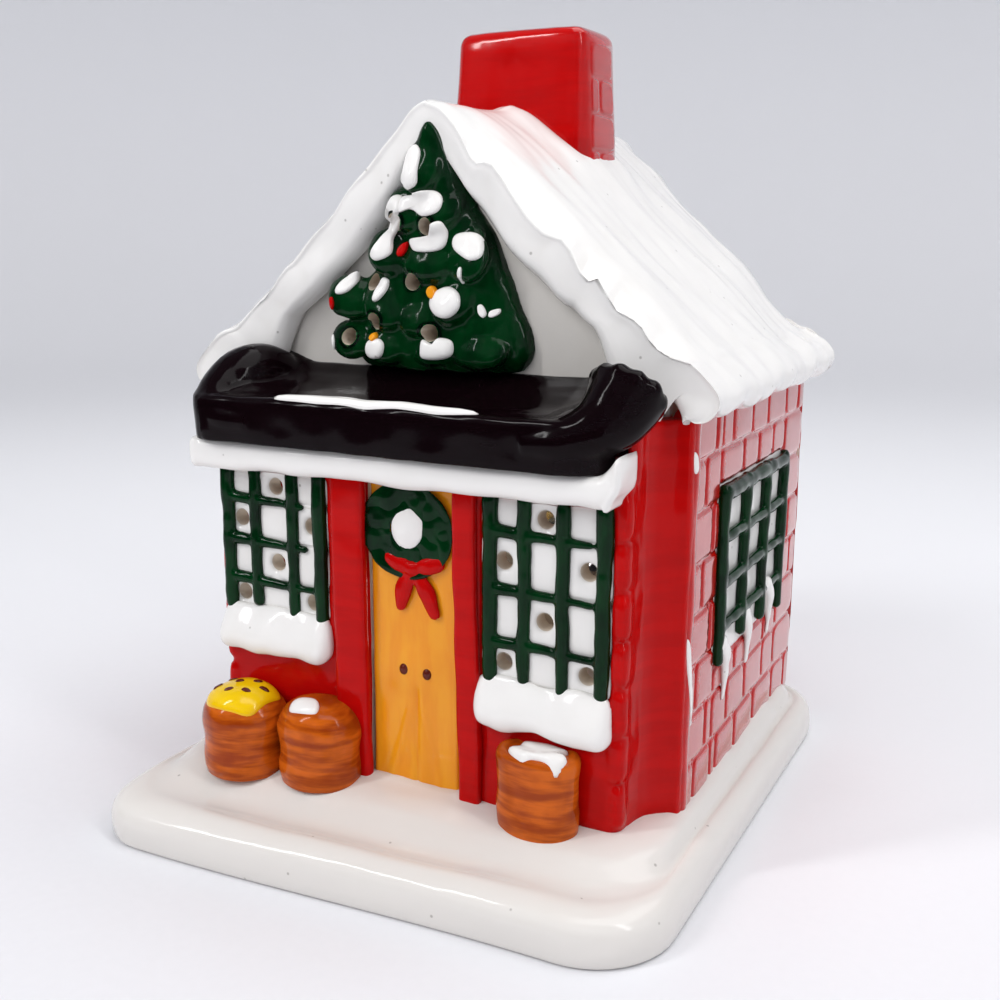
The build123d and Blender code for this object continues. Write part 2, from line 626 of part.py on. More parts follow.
porch_bay = make_porch_bay()
wreath = make_wreath()
right_wall = make_right_wall()
right_side_pane = make_right_side_pane()
right_side_lattice = make_right_side_lattice()
right_side_icicles = make_right_side_icicles()
right_roof_slope = make_right_roof_slope()
left_roof_slope = mirror(right_roof_slope, Plane.YZ)
right_window_snow = make_window_snow(RIGHT_WINDOW_X, RIGHT_WINDOW_H)
inner_basket_snow = make_basket_top(INNER_BASKET_X, INNER_BASKET_OUT, BASKET_H, BASKET_SNOW_R, BASKET_SNOW_H)
right_basket_snow = make_basket_top(
    RIGHT_BASKET_X, RIGHT_BASKET_OUT + BASKET_SNOW_R / 2, RIGHT_BASKET_H, BASKET_SNOW_R, BASKET_SNOW_H
)

nodes = {
    "snow_base": make_snow_base(),
    "front_wall": make_front_wall(),
    "back_wall": make_back_wall(),
    "left_wall": mirror(right_wall, Plane.YZ),
    "right_wall": right_wall,
    "porch_bay": porch_bay,
    "left_roof_slope": left_roof_slope,
    "right_roof_slope": right_roof_slope,
    "chimney": make_chimney(),
    "porch_roof": make_porch_roof(),
    "porch_snow": make_porch_snow(),
    "door": make_door(),
    "door_knobs": make_door_knobs(),
    "left_door_jamb": make_jamb(-1),
    "right_door_jamb": make_jamb(1),
    "wreath": wreath,
    "wreath_snow": make_wreath_snow(),
    "bow": make_bow(),
    "left_window_pane": make_window_pane(LEFT_WINDOW_X, LEFT_WINDOW_H),
    "right_window_pane": make_window_pane(RIGHT_WINDOW_X, RIGHT_WINDOW_H),
    "left_window_lattice": make_window_lattice(LEFT_WINDOW_X, LEFT_WINDOW_H),
    "right_window_lattice": make_window_lattice(RIGHT_WINDOW_X, RIGHT_WINDOW_H),
    "left_window_snow": make_window_snow(LEFT_WINDOW_X, LEFT_WINDOW_H),
    "right_window_snow": right_window_snow,
    "left_side_pane": mirror(right_side_pane, Plane.YZ),
    "right_side_pane": right_side_pane,
    "left_side_lattice": mirror(right_side_lattice, Plane.YZ),
    "right_side_lattice": right_side_lattice,
    "left_side_icicles": mirror(right_side_icicles, Plane.YZ),
    "right_side_icicles": right_side_icicles,
    "tree": make_tree(),
    "tree_snow": make_tree_snow(),
    "outer_basket": make_basket(OUTER_BASKET_X, OUTER_BASKET_OUT, BASKET_H),
    "outer_basket_fill": make_basket_top(OUTER_BASKET_X, OUTER_BASKET_OUT, BASKET_H, FILL_R, FILL_H),
    "inner_basket": make_basket(INNER_BASKET_X, INNER_BASKET_OUT, BASKET_H),
    "inner_basket_snow": inner_basket_snow,
    "right_basket": make_basket(RIGHT_BASKET_X, RIGHT_BASKET_OUT, RIGHT_BASKET_H),
    "right_basket_snow": right_basket_snow - right_window_snow,
    "lamp_holder": make_lamp_holder(),
    "holder_clip": make_holder_clip(),
    "screw_shell": make_screw_shell(),
    "centre_contact": make_centre_contact(),
    "bulb_cap": make_bulb_cap(),
    "bulb_glass": make_bulb_glass(),
    "bulb_stem": make_bulb_stem(),
    "bulb_filament": make_bulb_filament(),
}

for name, shape in nodes.items():
    export_step(shape, f"parts/{name}.step")
    print(name, round(shape.volume, 1), len(shape.solids()))
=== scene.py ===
"""Hand-painted ceramic village house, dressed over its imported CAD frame."""

import json
import math
import random

import bmesh
import bpy
import numpy as np
from mathutils import Matrix, Vector, noise
from mathutils.bvhtree import BVHTree

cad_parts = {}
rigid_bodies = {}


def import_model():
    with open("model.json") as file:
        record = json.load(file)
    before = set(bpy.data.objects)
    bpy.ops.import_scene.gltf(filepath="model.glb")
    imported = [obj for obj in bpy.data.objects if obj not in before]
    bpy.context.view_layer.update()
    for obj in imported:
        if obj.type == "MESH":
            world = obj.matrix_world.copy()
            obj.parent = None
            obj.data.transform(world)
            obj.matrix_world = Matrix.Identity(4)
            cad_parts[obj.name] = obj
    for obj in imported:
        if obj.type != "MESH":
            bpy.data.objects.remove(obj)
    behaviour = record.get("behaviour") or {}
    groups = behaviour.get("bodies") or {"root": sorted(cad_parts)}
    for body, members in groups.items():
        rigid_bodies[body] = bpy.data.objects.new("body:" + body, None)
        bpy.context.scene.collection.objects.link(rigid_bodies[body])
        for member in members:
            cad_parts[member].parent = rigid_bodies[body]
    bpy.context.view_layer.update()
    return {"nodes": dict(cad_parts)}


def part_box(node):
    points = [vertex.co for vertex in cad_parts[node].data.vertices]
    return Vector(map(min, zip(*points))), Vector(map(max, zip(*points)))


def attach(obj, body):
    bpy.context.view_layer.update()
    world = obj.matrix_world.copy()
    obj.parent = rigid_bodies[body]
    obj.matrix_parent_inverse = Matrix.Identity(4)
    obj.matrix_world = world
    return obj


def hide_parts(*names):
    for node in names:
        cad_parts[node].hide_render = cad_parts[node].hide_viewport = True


bl_info = {
    "name": "Ceramic village house",
    "version": (1, 0, 0),
    "blender": (4, 5, 0),
    "location": "View3D > Sidebar > Village",
    "description": "Models and glazes a slip-cast village house over its CAD frame",
    "category": "Object",
}

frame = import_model()

# Pieces are modelled in millimetres in the frame's own axes, and brought to metres when they are finished.
MM = 0.001


def box_mm(node):
    """Lowest and highest corner of a CAD node, in millimetres."""
    low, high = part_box(node)
    return low / MM, high / MM


BASE_LOW, BASE_HIGH = box_mm("snow_base")
WALL_LOW, WALL_HIGH = box_mm("right_wall")
BACK_LOW, BACK_HIGH = box_mm("back_wall")
BAY_LOW, BAY_HIGH = box_mm("porch_bay")
ROOF_HIGH = box_mm("right_roof_slope")[1]
STACK_LOW, STACK_HIGH = box_mm("chimney")
BAND_LOW, BAND_HIGH = box_mm("porch_snow")
DOOR_LOW, DOOR_HIGH = box_mm("door")
SIDE_LOW, SIDE_HIGH = box_mm("right_side_pane")
HOLDER_LOW, HOLDER_HIGH = box_mm("lamp_holder")

FLOOR_Z = WALL_LOW.z
FRONT_Y = WALL_LOW.y
BACK_Y = WALL_HIGH.y
WALL_X = WALL_HIGH.x
BAY_Y = BAY_LOW.y
LAMP_Z = (HOLDER_LOW.z + HOLDER_HIGH.z) / 2


def sided(side, name):
    """Name of a piece on the left (-1) or on the right (1)."""
    return ("left_" if side < 0 else "right_") + name


def srgb(red, green, blue):
    """Scene-linear colour of an 8-bit screen colour."""
    shades = []
    for value in (red, green, blue):
        share = value / 255
        shades.append(share / 12.92 if share <= 0.04045 else ((share + 0.055) / 1.055) ** 2.4)
    return tuple(shades)


def size_prop(name, description, default):
    """Length that a user may change."""
    return bpy.props.FloatProperty(
        name=name, description=description, default=default, min=0.0, precision=5, unit="LENGTH"
    )


def colour_prop(name, description, default):
    """Glaze colour that a user may change."""
    return bpy.props.FloatVectorProperty(
        name=name, description=description, default=default, min=0.0, max=1.0, size=3, subtype="COLOR"
    )


class HouseSizes(bpy.types.PropertyGroup):
    """Sizes of the modelled relief"""

    brick_length: size_prop("Brick length", "Length of one brick in the side walls", 12.0 * MM)
    course_height: size_prop("Course height", "Height of one course of bricks", 8.9 * MM)
    brick_relief: size_prop("Brick relief", "How far a brick stands out of its joints", 0.6 * MM)
    joint_width: size_prop("Joint width", "Width of the joints between bricks", 0.6 * MM)
    bar_width: size_prop("Window bar width", "Width of a painted window bar", 2.6 * MM)
    bar_relief: size_prop("Window bar relief", "How far a window bar stands out of the wall", 1.1 * MM)
    light_hole: size_prop("Light hole", "Diameter of the holes that let the lamp shine out", 3.1 * MM)
    roof_streak: size_prop("Roof streak", "Depth of the combed streaks in the roof snow", 0.3 * MM)
    snow_wave: size_prop("Snow wave", "Height of the soft waves in the snow of the base", 0.55 * MM)
    hand_waver: size_prop("Hand waver", "How far hand-made edges waver from straight", 0.3 * MM)


class GlazeColours(bpy.types.PropertyGroup):
    """Colours of the glazes"""

    snow: colour_prop("Snow", "White glaze of the roof", srgb(242, 240, 237))
    drift: colour_prop("Base snow", "White glaze of the base", srgb(225, 221, 216))
    snow_pool: colour_prop("Snow in hollows", "White glaze where it pools", srgb(222, 218, 212))
    red: colour_prop("Brick red", "Red glaze of the walls", srgb(190, 8, 8))
    red_pool: colour_prop("Red in joints", "Red glaze where it pools", srgb(156, 5, 6))
    red_thin: colour_prop("Red on edges", "Red glaze where it breaks thin", srgb(200, 18, 16))
    green: colour_prop("Green", "Green glaze of the tree and the window bars", srgb(2, 48, 18))
    green_pool: colour_prop("Green in hollows", "Green glaze where it pools", srgb(1, 10, 5))
    green_thin: colour_prop("Green on ridges", "Green glaze where it breaks thin", srgb(10, 104, 46))
    brown: colour_prop("Awning brown", "Near-black glaze of the porch roof", srgb(14, 5, 8))
    brown_thin: colour_prop("Brown on ridges", "Porch roof glaze where it breaks thin", srgb(48, 16, 24))
    door: colour_prop("Door amber", "Amber glaze of the door", srgb(242, 160, 30))
    door_pool: colour_prop("Amber in hollows", "Amber glaze where it pools", srgb(230, 126, 12))
    knob: colour_prop("Knob brown", "Brown glaze of the knobs and seeds", srgb(92, 26, 14))
    basket: colour_prop("Basket brown", "Orange-brown glaze of the baskets", srgb(206, 98, 20))
    basket_pool: colour_prop("Basket bands", "Basket glaze where it pools", srgb(126, 36, 6))
    straw: colour_prop("Straw yellow", "Yellow glaze of the heaped basket", srgb(244, 202, 12))
    clay: colour_prop("Bare clay", "Unglazed clay inside the light holes", srgb(206, 192, 176))
    # The floor colour is the paper in front, darker than the paper behind as painted shade (see
    # floor_material).
    floor: colour_prop("Floor", "Pale floor and backdrop", srgb(228, 228, 232))


# Modelling helpers


def smooth_run(points, steps, closed=False):
    """Points on a smooth curve through hand-set ones, with a number of steps to each span."""
    knots = [np.array(point, float) for point in points]
    if closed:
        knots = [knots[-1]] + knots + knots[:2]
    else:
        knots = [2 * knots[0] - knots[1]] + knots + [2 * knots[-1] - knots[-2]]
    run = []
    for before, start, end, after in zip(knots, knots[1:], knots[2:], knots[3:]):
        for step in range(steps):
            t = step / steps
            bend = 2 * before - 5 * start + 4 * end - after
            swing = 3 * start - before - 3 * end + after
            run.append(0.5 * (2 * start + (end - before) * t + bend * t ** 2 + swing * t ** 3))
    if not closed:
        run.append(knots[-2])
    return run


def ease(low, high, value):
    """Smooth rise from 0 to 1 between two values."""
    share = min(1.0, max(0.0, (value - low) / (high - low)))
    return share * share * (3 - 2 * share)


def bumps(place, wavelength, seed=0.0):
    """Soft noise between -1 and 1 at a place, with bumps of about one wavelength."""
    return noise.noise(Vector(place) / wavelength + Vector((seed, 1.7 * seed, 0.6 * seed)))


def loft(bm, rings, closed=False):
    """Skin over rings of equal length, each ring extruded from the one before; gives the new faces."""
    place = bm.verts.layers.int.get("place") or bm.verts.layers.int.new("place")
    known = set(bm.faces)
    verts = bmesh.ops.create_circle(bm, segments=len(rings[0]), radius=1.0)["verts"]
    for number, vert in enumerate(verts):
        vert[place] = number
        vert.co = rings[0][number]
    first = list({edge for vert in verts for edge in vert.link_edges})
    edges = first
    for ring in rings[1:]:
        grown = bmesh.ops.extrude_edge_only(bm, edges=edges)["geom"]
        edges = [item for item in grown if isinstance(item, bmesh.types.BMEdge) and item.is_boundary]
        for item in grown:
            if isinstance(item, bmesh.types.BMVert):
                item.co = ring[item[place]]
    if closed:
        bmesh.ops.bridge_loops(bm, edges=first + edges)
    return [face for face in bm.faces if face not in known]


def capped_loft(bm, rings, lift=0.0):
    """Skin over rings with both ends drawn together to a point; the last one may be lifted."""
    first, last = (sum(ring, Vector()) / len(ring) for ring in (rings[0], rings[-1]))
    last += Vector((0, 0, lift))
    loft(bm, [[first] * len(rings[0]), *rings, [last] * len(rings[-1])])


# Points along each side and round each corner of a rounded ring
SIDE_STEPS = 28
CORNER_STEPS = 10


def rounded_ring(low, high, corners, z):
    """Rounded rectangle seen from above, from its right front corner on, with as many points at any size."""
    spots = [(high.x, low.y, -1, 1), (high.x, high.y, -1, -1), (low.x, high.y, 1, -1), (low.x, low.y, 1, 1)]
    middles = [Vector((x + r * sx, y + r * sy, z)) for (x, y, sx, sy), r in zip(spots, corners)]
    ring = []
    for quarter, (middle, corner) in enumerate(zip(middles, corners)):
        start = math.radians(90 * quarter - 90)
        for step in range(CORNER_STEPS):
            angle = start + math.radians(90) * step / CORNER_STEPS
            ring.append(middle + Vector((math.cos(angle), math.sin(angle), 0)) * corner)
        out = Vector((math.cos(start + math.pi / 2), math.sin(start + math.pi / 2), 0))
        following = (quarter + 1) % 4
        begin = middle + out * corner
        end = middles[following] + out * corners[following]
        ring += [begin.lerp(end, step / SIDE_STEPS) for step in range(SIDE_STEPS)]
    return ring


def tube(bm, path, radii, out=(0, -1, 0), depth=1.0, sides=12, bulge=1.0):
    """Rod along a smooth path with bulged ends. Depth is its share of width towards out."""
    joined = [tuple(point) + (radius,) for point, radius in zip(path, radii)]
    run = smooth_run(joined, 4)
    places = [Vector(item[:3]) for item in run]
    out = Vector(out)
    rings = []
    for number, item in enumerate(run):
        ahead = places[min(number + 1, len(places) - 1)] - places[max(number - 1, 0)]
        across = ahead.cross(out).normalized()
        lift = across.cross(ahead).normalized()
        radius = max(item[3], 0.0)
        ring = []
        for side in range(sides):
            angle = 2 * math.pi * side / sides
            flat = across * math.cos(angle) * radius
            ring.append(places[number] + flat + lift * math.sin(angle) * radius * depth)
        rings.append(ring)
    heads = []
    for end, inner in ((0, 1), (-1, -2)):
        step = (places[end] - places[inner]).normalized() * run[end][3] * bulge
        middle = places[end]
        shoulder = [middle.lerp(point, 0.72) + step * 0.55 for point in rings[end]]
        heads.append([shoulder, [middle + step * 0.8] * sides])
    loft(bm, heads[0][::-1] + rings + heads[1])


def lump(bm, middle, radii, lean=0.0, tilt=0.0):
    """Egg-shaped lump of clay, leant sideways and tilted foot forward, to be fused with its neighbours."""
    turn = Matrix.Rotation(math.radians(lean), 4, "Y") @ Matrix.Rotation(math.radians(-tilt), 4, "X")
    shape = Matrix.Translation(middle) @ turn @ Matrix.Diagonal((*radii, 1))
    bmesh.ops.create_uvsphere(bm, u_segments=20, v_segments=12, radius=1.0, matrix=shape)


def round_edges(bm, edges, radius):
    """Rounds edges off."""
    bmesh.ops.bevel(bm, geom=edges, offset=radius, segments=4, profile=0.5, affect="EDGES", material=-1)


def soft_block(bm, low, high, radius):
    """Box between two corners with rounded edges."""
    low, high = Vector(low), Vector(high)
    size = high - low
    place = Matrix.Translation((low + high) / 2) @ Matrix.Diagonal((*size, 1))
    verts = bmesh.ops.create_cube(bm, size=1.0, matrix=place)["verts"]
    edges = list({edge for vert in verts for edge in vert.link_edges})
    round_edges(bm, edges, min(radius, min(size) * 0.49))


def close_up(bm):
    """Merges the doubled points of seams and poles and turns every face outwards."""
    bmesh.ops.remove_doubles(bm, verts=bm.verts, dist=0.002)
    bmesh.ops.recalc_face_normals(bm, faces=bm.faces)


def clay_object(bm, name):
    """Object that carries a bmesh, which is freed."""
    mesh = bpy.data.meshes.new(name)
    bm.to_mesh(mesh)
    bm.free()
    piece = bpy.data.objects.new(name, mesh)
    bpy.context.scene.collection.objects.link(piece)
    return piece


def discard(piece):
    """Removes a helper object and its mesh."""
    mesh = piece.data
    bpy.data.objects.remove(piece)
    bpy.data.meshes.remove(mesh)


def carve(bm, cutters):
    """Takes closed shapes away from closed shapes; either may overlap among themselves."""
    close_up(bm)
    close_up(cutters)
    piece = clay_object(bm, "clay")
    cutter = clay_object(cutters, "cutters")
    cut = piece.modifiers.new("cut", "BOOLEAN")
    cut.operation = "DIFFERENCE"
    cut.solver = "EXACT"
    cut.use_self = True
    cut.object = cutter
    carved = bmesh_of(piece)
    discard(cutter)
    return carved


DRILL_LENGTH = 30.0


def drill(cutters, place, radius, sides):
    """Adds a round cutter that runs from front to back through a place."""
    turn = Matrix.Translation(place) @ Matrix.Rotation(math.pi / 2, 4, "X")
    bmesh.ops.create_cone(
        cutters, cap_ends=True, segments=sides, radius1=radius, radius2=radius, depth=DRILL_LENGTH,
        matrix=turn
    )


def bmesh_of(piece):
    """Bmesh of a helper object with its modifiers applied; the object is removed."""
    graph = bpy.context.evaluated_depsgraph_get()
    graph.update()
    mesh = bpy.data.meshes.new_from_object(piece.evaluated_get(graph))
    made = bmesh.new()
    made.from_mesh(mesh)
    bpy.data.meshes.remove(mesh)
    discard(piece)
    return made


def fuse(bm, voxel, soften):
    """One skin of clay over closed shapes that overlap, softened as slip-casting does."""
    close_up(bm)
    piece = clay_object(bm, "clay")
    remesh = piece.modifiers.new("fuse", "REMESH")
    remesh.mode = "VOXEL"
    remesh.voxel_size = voxel
    smooth = piece.modifiers.new("soften", "SMOOTH")
    smooth.factor = 0.5
    smooth.iterations = soften
    return bmesh_of(piece)


def rounded(bm):
    """Subdivides a rough shape once into a smooth one."""
    close_up(bm)
    piece = clay_object(bm, "clay")
    subdivision = piece.modifiers.new("round", "SUBSURF")
    subdivision.levels = 1
    subdivision.render_levels = 1
    return bmesh_of(piece)


def waver(bm, amount, wavelength, seed=0.0, share=None):
    """Moves a skin in and out along its normals by soft noise, all over or by a share of its place."""
    bm.normal_update()
    for vert in bm.verts:
        part = share(vert.co) if share else 1.0
        vert.co += vert.normal * amount * part * bumps(vert.co, wavelength, seed)


def mark_relief(mesh, reach, rounds):
    """Stores how far each point stands out of the smoothed surface, from 0 in hollows to 1 on ridges."""
    count = len(mesh.vertices)
    places = np.empty(count * 3)
    mesh.vertices.foreach_get("co", places)
    places = places.reshape(-1, 3)
    normals = np.empty(count * 3)
    mesh.vertices.foreach_get("normal", normals)
    normals = normals.reshape(-1, 3)
    ends = np.empty(len(mesh.edges) * 2, np.int32)
    mesh.edges.foreach_get("vertices", ends)
    ends = ends.reshape(-1, 2)
    from_ends = np.concatenate([ends[:, 0], ends[:, 1]])
    to_ends = np.concatenate([ends[:, 1], ends[:, 0]])
    degree = np.maximum(np.bincount(from_ends, minlength=count), 1)[:, None]
    soft = places
    for number in range(2 * rounds):
        sums = [np.bincount(from_ends, weights=soft[to_ends, axis], minlength=count) for axis in range(3)]
        pull = np.stack(sums, axis=1) / degree - soft
        soft = soft + pull * (0.6, -0.61)[number % 2]
    height = ((places - soft) * normals).sum(axis=1)
    height -= np.median(height)
    relief = mesh.attributes.new("relief", "FLOAT", "POINT")
    relief.data.foreach_set("value", np.clip(0.5 + height / (2 * reach), 0, 1).astype(np.float32))


def finish_piece(bm, name, materials, reach, rounds, sharp=None, nodes=None):
    """Turns a bmesh in millimetres into a piece in metres, shaded, glazed and riding on the house."""
    close_up(bm)
    bmesh.ops.scale(bm, vec=(MM, MM, MM), verts=bm.verts)
    piece = clay_object(bm, "glazed_" + name)
    mesh = piece.data
    mesh.polygons.foreach_set("use_smooth", [True] * len(mesh.polygons))
    if sharp:
        mesh.set_sharp_from_angle(angle=math.radians(sharp))
    mark_relief(mesh, reach * MM, rounds)
    for material in materials:
        mesh.materials.append(material)
    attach(piece, "house")
    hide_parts(*(nodes or [name]))
    return piece


def surface_of(piece):
    """Search tree of a finished piece, in millimetres, for dropping paint on it."""
    places = [vert.co / MM for vert in piece.data.vertices]
    return BVHTree.FromPolygons(places, [list(face.vertices) for face in piece.data.polygons])


FROM_FRONT = (Vector((0, 1, 0)), lambda across, up: Vector((across, -100, up)))
FROM_RIGHT = (Vector((-1, 0, 0)), lambda across, up: Vector((100, across, up)))
FROM_LEFT = (Vector((1, 0, 0)), lambda across, up: Vector((-100, across, up)))
FROM_ABOVE = (Vector((0, 0, -1)), lambda across, up: Vector((across, up, 200)))


# Rings of a dab from the middle of its underside to that of its top: (share of outline, share of thickness)
DAB_RISE = [
    (0.0, None), (0.55, None), (0.98, None), (1.0, 0.1), (0.96, 0.5), (0.86, 0.82), (0.65, 1.0),
    (0.35, 1.0), (0.0, 1.0),
]
DAB_BRIDGE = 1.6
DAB_SUNK = 0.4


def dab(bm, surface, outline, thickness, side=FROM_FRONT, material=0):
    """Thick dab of glaze: rings drawn in from an outline, each point dropped on to the surface it covers."""
    heading, start = side
    edge = smooth_run(outline, 5, closed=True)
    middle = sum(edge) / len(edge)

    def depth_at(place):
        return surface.ray_cast(start(*place), heading)[3]

    depths = [depth for depth in map(depth_at, [middle, *edge]) if depth is not None]
    usual = sorted(depths)[len(depths) // 2]
    rings = []
    for share, lift in DAB_RISE:
        height = -DAB_SUNK if lift is None else thickness * lift
        ring = []
        for point in edge:
            place = middle + (point - middle) * max(share, 0.001)
            depth = depth_at(place)
            if depth is None or depth > usual + DAB_BRIDGE:
                depth = usual + DAB_BRIDGE
            ring.append(start(*place) + heading * (depth - height))
        if share == 0.0:
            ring = [sum(ring, Vector()) / len(ring)] * len(ring)
        rings.append(ring)
    for face in loft(bm, rings):
        face.material_index = material


OVAL_POINTS = 9


def oval(across, up, half_across, half_up, lean, seed):
    """Hand-painted oval outline."""
    cos_lean, sin_lean = math.cos(math.radians(lean)), math.sin(math.radians(lean))
    outline = []
    for number in range(OVAL_POINTS):
        angle = 2 * math.pi * number / OVAL_POINTS
        waver_share = 1 + 0.16 * bumps((3 * math.cos(angle), 3 * math.sin(angle), 5 * seed), 1.7, seed)
        x = half_across * math.cos(angle) * waver_share
        y = half_up * math.sin(angle) * waver_share
        outline.append((across + x * cos_lean - y * sin_lean, up + x * sin_lean + y * cos_lean))
    return outline


# Shader node groups shared by the glazes


def feed(tree, socket, value):
    """Links a socket that is given as a value, or writes a number or colour on the input itself."""
    if isinstance(value, bpy.types.NodeSocket):
        tree.links.new(value, socket)
    else:
        socket.default_value = value


def new_node(tree, kind, **values):
    """Node with some of its inputs or settings filled in."""
    node = tree.nodes.new(kind)
    for key, value in values.items():
        name = key.replace("_", " ").title()
        if name in node.inputs:
            feed(tree, node.inputs[name], value)
        else:
            setattr(node, key, value)
    return node


def maths(tree, operation, first, second=0.0, clamp=False):
    """Math node on two sockets or numbers; gives its output."""
    node = new_node(tree, "ShaderNodeMath", operation=operation, use_clamp=clamp)
    for socket, value in zip(node.inputs, (first, second)):
        feed(tree, socket, value)
    return node.outputs[0]


def blend(tree, share, first, second):
    """Colour mixed from two by a share; gives its output."""
    node = new_node(tree, "ShaderNodeMix", data_type="RGBA")
    for number, value in ((0, share), (6, first), (7, second)):
        feed(tree, node.inputs[number], value)
    return node.outputs[2]


def ramp(tree, value, low, high):
    """Value brought from a range to 0..1, smoothly; gives its output."""
    node = new_node(
        tree, "ShaderNodeMapRange", interpolation_type="SMOOTHSTEP", value=value, from_min=low, from_max=high
    )
    return node.outputs["Result"]


def shader_group(name, inputs, outputs):
    """Empty node group with named sockets; gives the group and its input and output nodes."""
    group = bpy.data.node_groups.new(name, "ShaderNodeTree")
    for way, sockets in (("INPUT", inputs), ("OUTPUT", outputs)):
        for label, kind in sockets.items():
            group.interface.new_socket(label, in_out=way, socket_type="NodeSocket" + kind)
    return group, group.nodes.new("NodeGroupInput"), group.nodes.new("NodeGroupOutput")


def pooled_glaze():
    """Glaze that is darker in hollows, paler on ridges and cloudy between."""
    if "Pooled Glaze" in bpy.data.node_groups:
        return bpy.data.node_groups["Pooled Glaze"]
    sockets = {"Vector": "Vector", "Relief": "Float", "Body": "Color", "Pool": "Color", "Thin": "Color"}
    sockets.update({"Cloud Scale": "Float", "Cloud": "Float", "Depth": "Float"})
    group, given, result = shader_group("Pooled Glaze", sockets, {"Colour": "Color"})
    take = given.outputs
    cloud = new_node(
        group, "ShaderNodeTexNoise", vector=take["Vector"], scale=take["Cloud Scale"], detail=4.0
    )
    cloudy = maths(group, "MULTIPLY", maths(group, "SUBTRACT", cloud.outputs[0], 0.5), take["Cloud"])
    sunk = maths(group, "MULTIPLY", maths(group, "SUBTRACT", 0.5, take["Relief"]), take["Depth"])
    pool = maths(group, "ADD", sunk, cloudy, clamp=True)
    proud = maths(group, "MULTIPLY", maths(group, "SUBTRACT", take["Relief"], 0.6), take["Depth"], clamp=True)
    colour = blend(group, pool, take["Body"], take["Pool"])
    colour = blend(group, proud, colour, take["Thin"])
    group.links.new(colour, result.inputs["Colour"])
    return group


def brush_marks():
    """Streaks of a brush, stretched along one direction."""
    if "Brush Marks" in bpy.data.node_groups:
        return bpy.data.node_groups["Brush Marks"]
    sockets = {"Vector": "Vector", "Stretch": "Vector"}
    group, given, result = shader_group("Brush Marks", sockets, {"Streak": "Float"})
    scaled = new_node(group, "ShaderNodeVectorMath", operation="MULTIPLY")
    for number, label in enumerate(("Vector", "Stretch")):
        group.links.new(given.outputs[label], scaled.inputs[number])
    streak = new_node(
        group, "ShaderNodeTexNoise", vector=scaled.outputs[0], scale=1.0, detail=3.0, roughness=0.6
    )
    group.links.new(ramp(group, streak.outputs[0], 0.36, 0.66), result.inputs["Streak"])
    return group


def kiln_specks():
    """Scattered specks of grit, a few in a hundred cells."""
    if "Kiln Specks" in bpy.data.node_groups:
        return bpy.data.node_groups["Kiln Specks"]
    sockets = {"Vector": "Vector", "Scale": "Float", "Share": "Float"}
    group, given, result = shader_group("Kiln Specks", sockets, {"Mask": "Float"})
    cells = new_node(
        group, "ShaderNodeTexVoronoi", vector=given.outputs["Vector"], scale=given.outputs["Scale"]
    )
    near = maths(group, "SUBTRACT", 1.0, ramp(group, cells.outputs["Distance"], 0.1, 0.24))
    split = group.nodes.new("ShaderNodeSeparateColor")
    group.links.new(cells.outputs["Color"], split.inputs[0])
    chosen = maths(group, "LESS_THAN", split.outputs[0], given.outputs["Share"])
    group.links.new(maths(group, "MULTIPLY", near, chosen), result.inputs["Mask"])
    return group


def glaze_ripple():
    """Soft swells and fine peel of a fired glaze, as a height."""
    if "Glaze Ripple" in bpy.data.node_groups:
        return bpy.data.node_groups["Glaze Ripple"]
    sockets = {"Vector": "Vector", "Swell": "Float", "Peel": "Float"}
    group, given, result = shader_group("Glaze Ripple", sockets, {"Height": "Float"})
    swell = new_node(group, "ShaderNodeTexNoise", vector=given.outputs["Vector"], scale=150.0, detail=1.0)
    peel = new_node(group, "ShaderNodeTexNoise", vector=given.outputs["Vector"], scale=700.0, detail=2.0)
    high = maths(group, "MULTIPLY", swell.outputs[0], given.outputs["Swell"])
    fine = maths(group, "MULTIPLY", peel.outputs[0], given.outputs["Peel"])
    group.links.new(maths(group, "ADD", high, fine), result.inputs["Height"])
    return group


def place_group(tree, group, **values):
    """Group node with its inputs set by name."""
    node = tree.nodes.new("ShaderNodeGroup")
    node.node_tree = group
    for key, value in values.items():
        feed(tree, node.inputs[key.replace("_", " ")], value)
    return node


def paint(colour):
    """Colour with its alpha."""
    return (*colour, 1.0)


def bare_material(name):
    """New material; gives itself, its tree, its shader and the Object coordinates of what it covers."""
    material = bpy.data.materials.new(name)
    material.use_nodes = True
    tree = material.node_tree
    tree.nodes.clear()
    shader = tree.nodes.new("ShaderNodeBsdfPrincipled")
    output = tree.nodes.new("ShaderNodeOutputMaterial")
    tree.links.new(shader.outputs[0], output.inputs[0])
    return material, tree, shader, tree.nodes.new("ShaderNodeTexCoord").outputs["Object"]


def add_bump(tree, shader, height, strength, distance):
    """Lets a height tilt the surface."""
    bump = new_node(tree, "ShaderNodeBump", height=height, strength=strength, distance=distance)
    tree.links.new(bump.outputs[0], shader.inputs["Normal"])


def vary_roughness(tree, shader, value, low, high):
    """Roughness that follows a value between two limits."""
    rough = new_node(tree, "ShaderNodeMapRange", value=value, to_min=low, to_max=high)
    tree.links.new(rough.outputs[0], shader.inputs["Roughness"])


def glaze_colour(tree, place, relief, body, pool, thin, cloud=0.8, cloud_scale=120.0, depth=1.6, streak=None):
    """Colour of a glaze: pooled by relief, clouded, and brushed along one direction."""
    colour = place_group(
        tree, pooled_glaze(), Vector=place, Relief=relief, Body=paint(body), Pool=paint(pool),
        Thin=paint(thin), Cloud_Scale=cloud_scale, Cloud=cloud, Depth=depth,
    ).outputs["Colour"]
    if streak:
        stretch, share, shade = streak
        marks = place_group(tree, brush_marks(), Vector=place, Stretch=stretch).outputs["Streak"]
        colour = blend(tree, maths(tree, "MULTIPLY", marks, share), colour, paint(shade))
    return colour


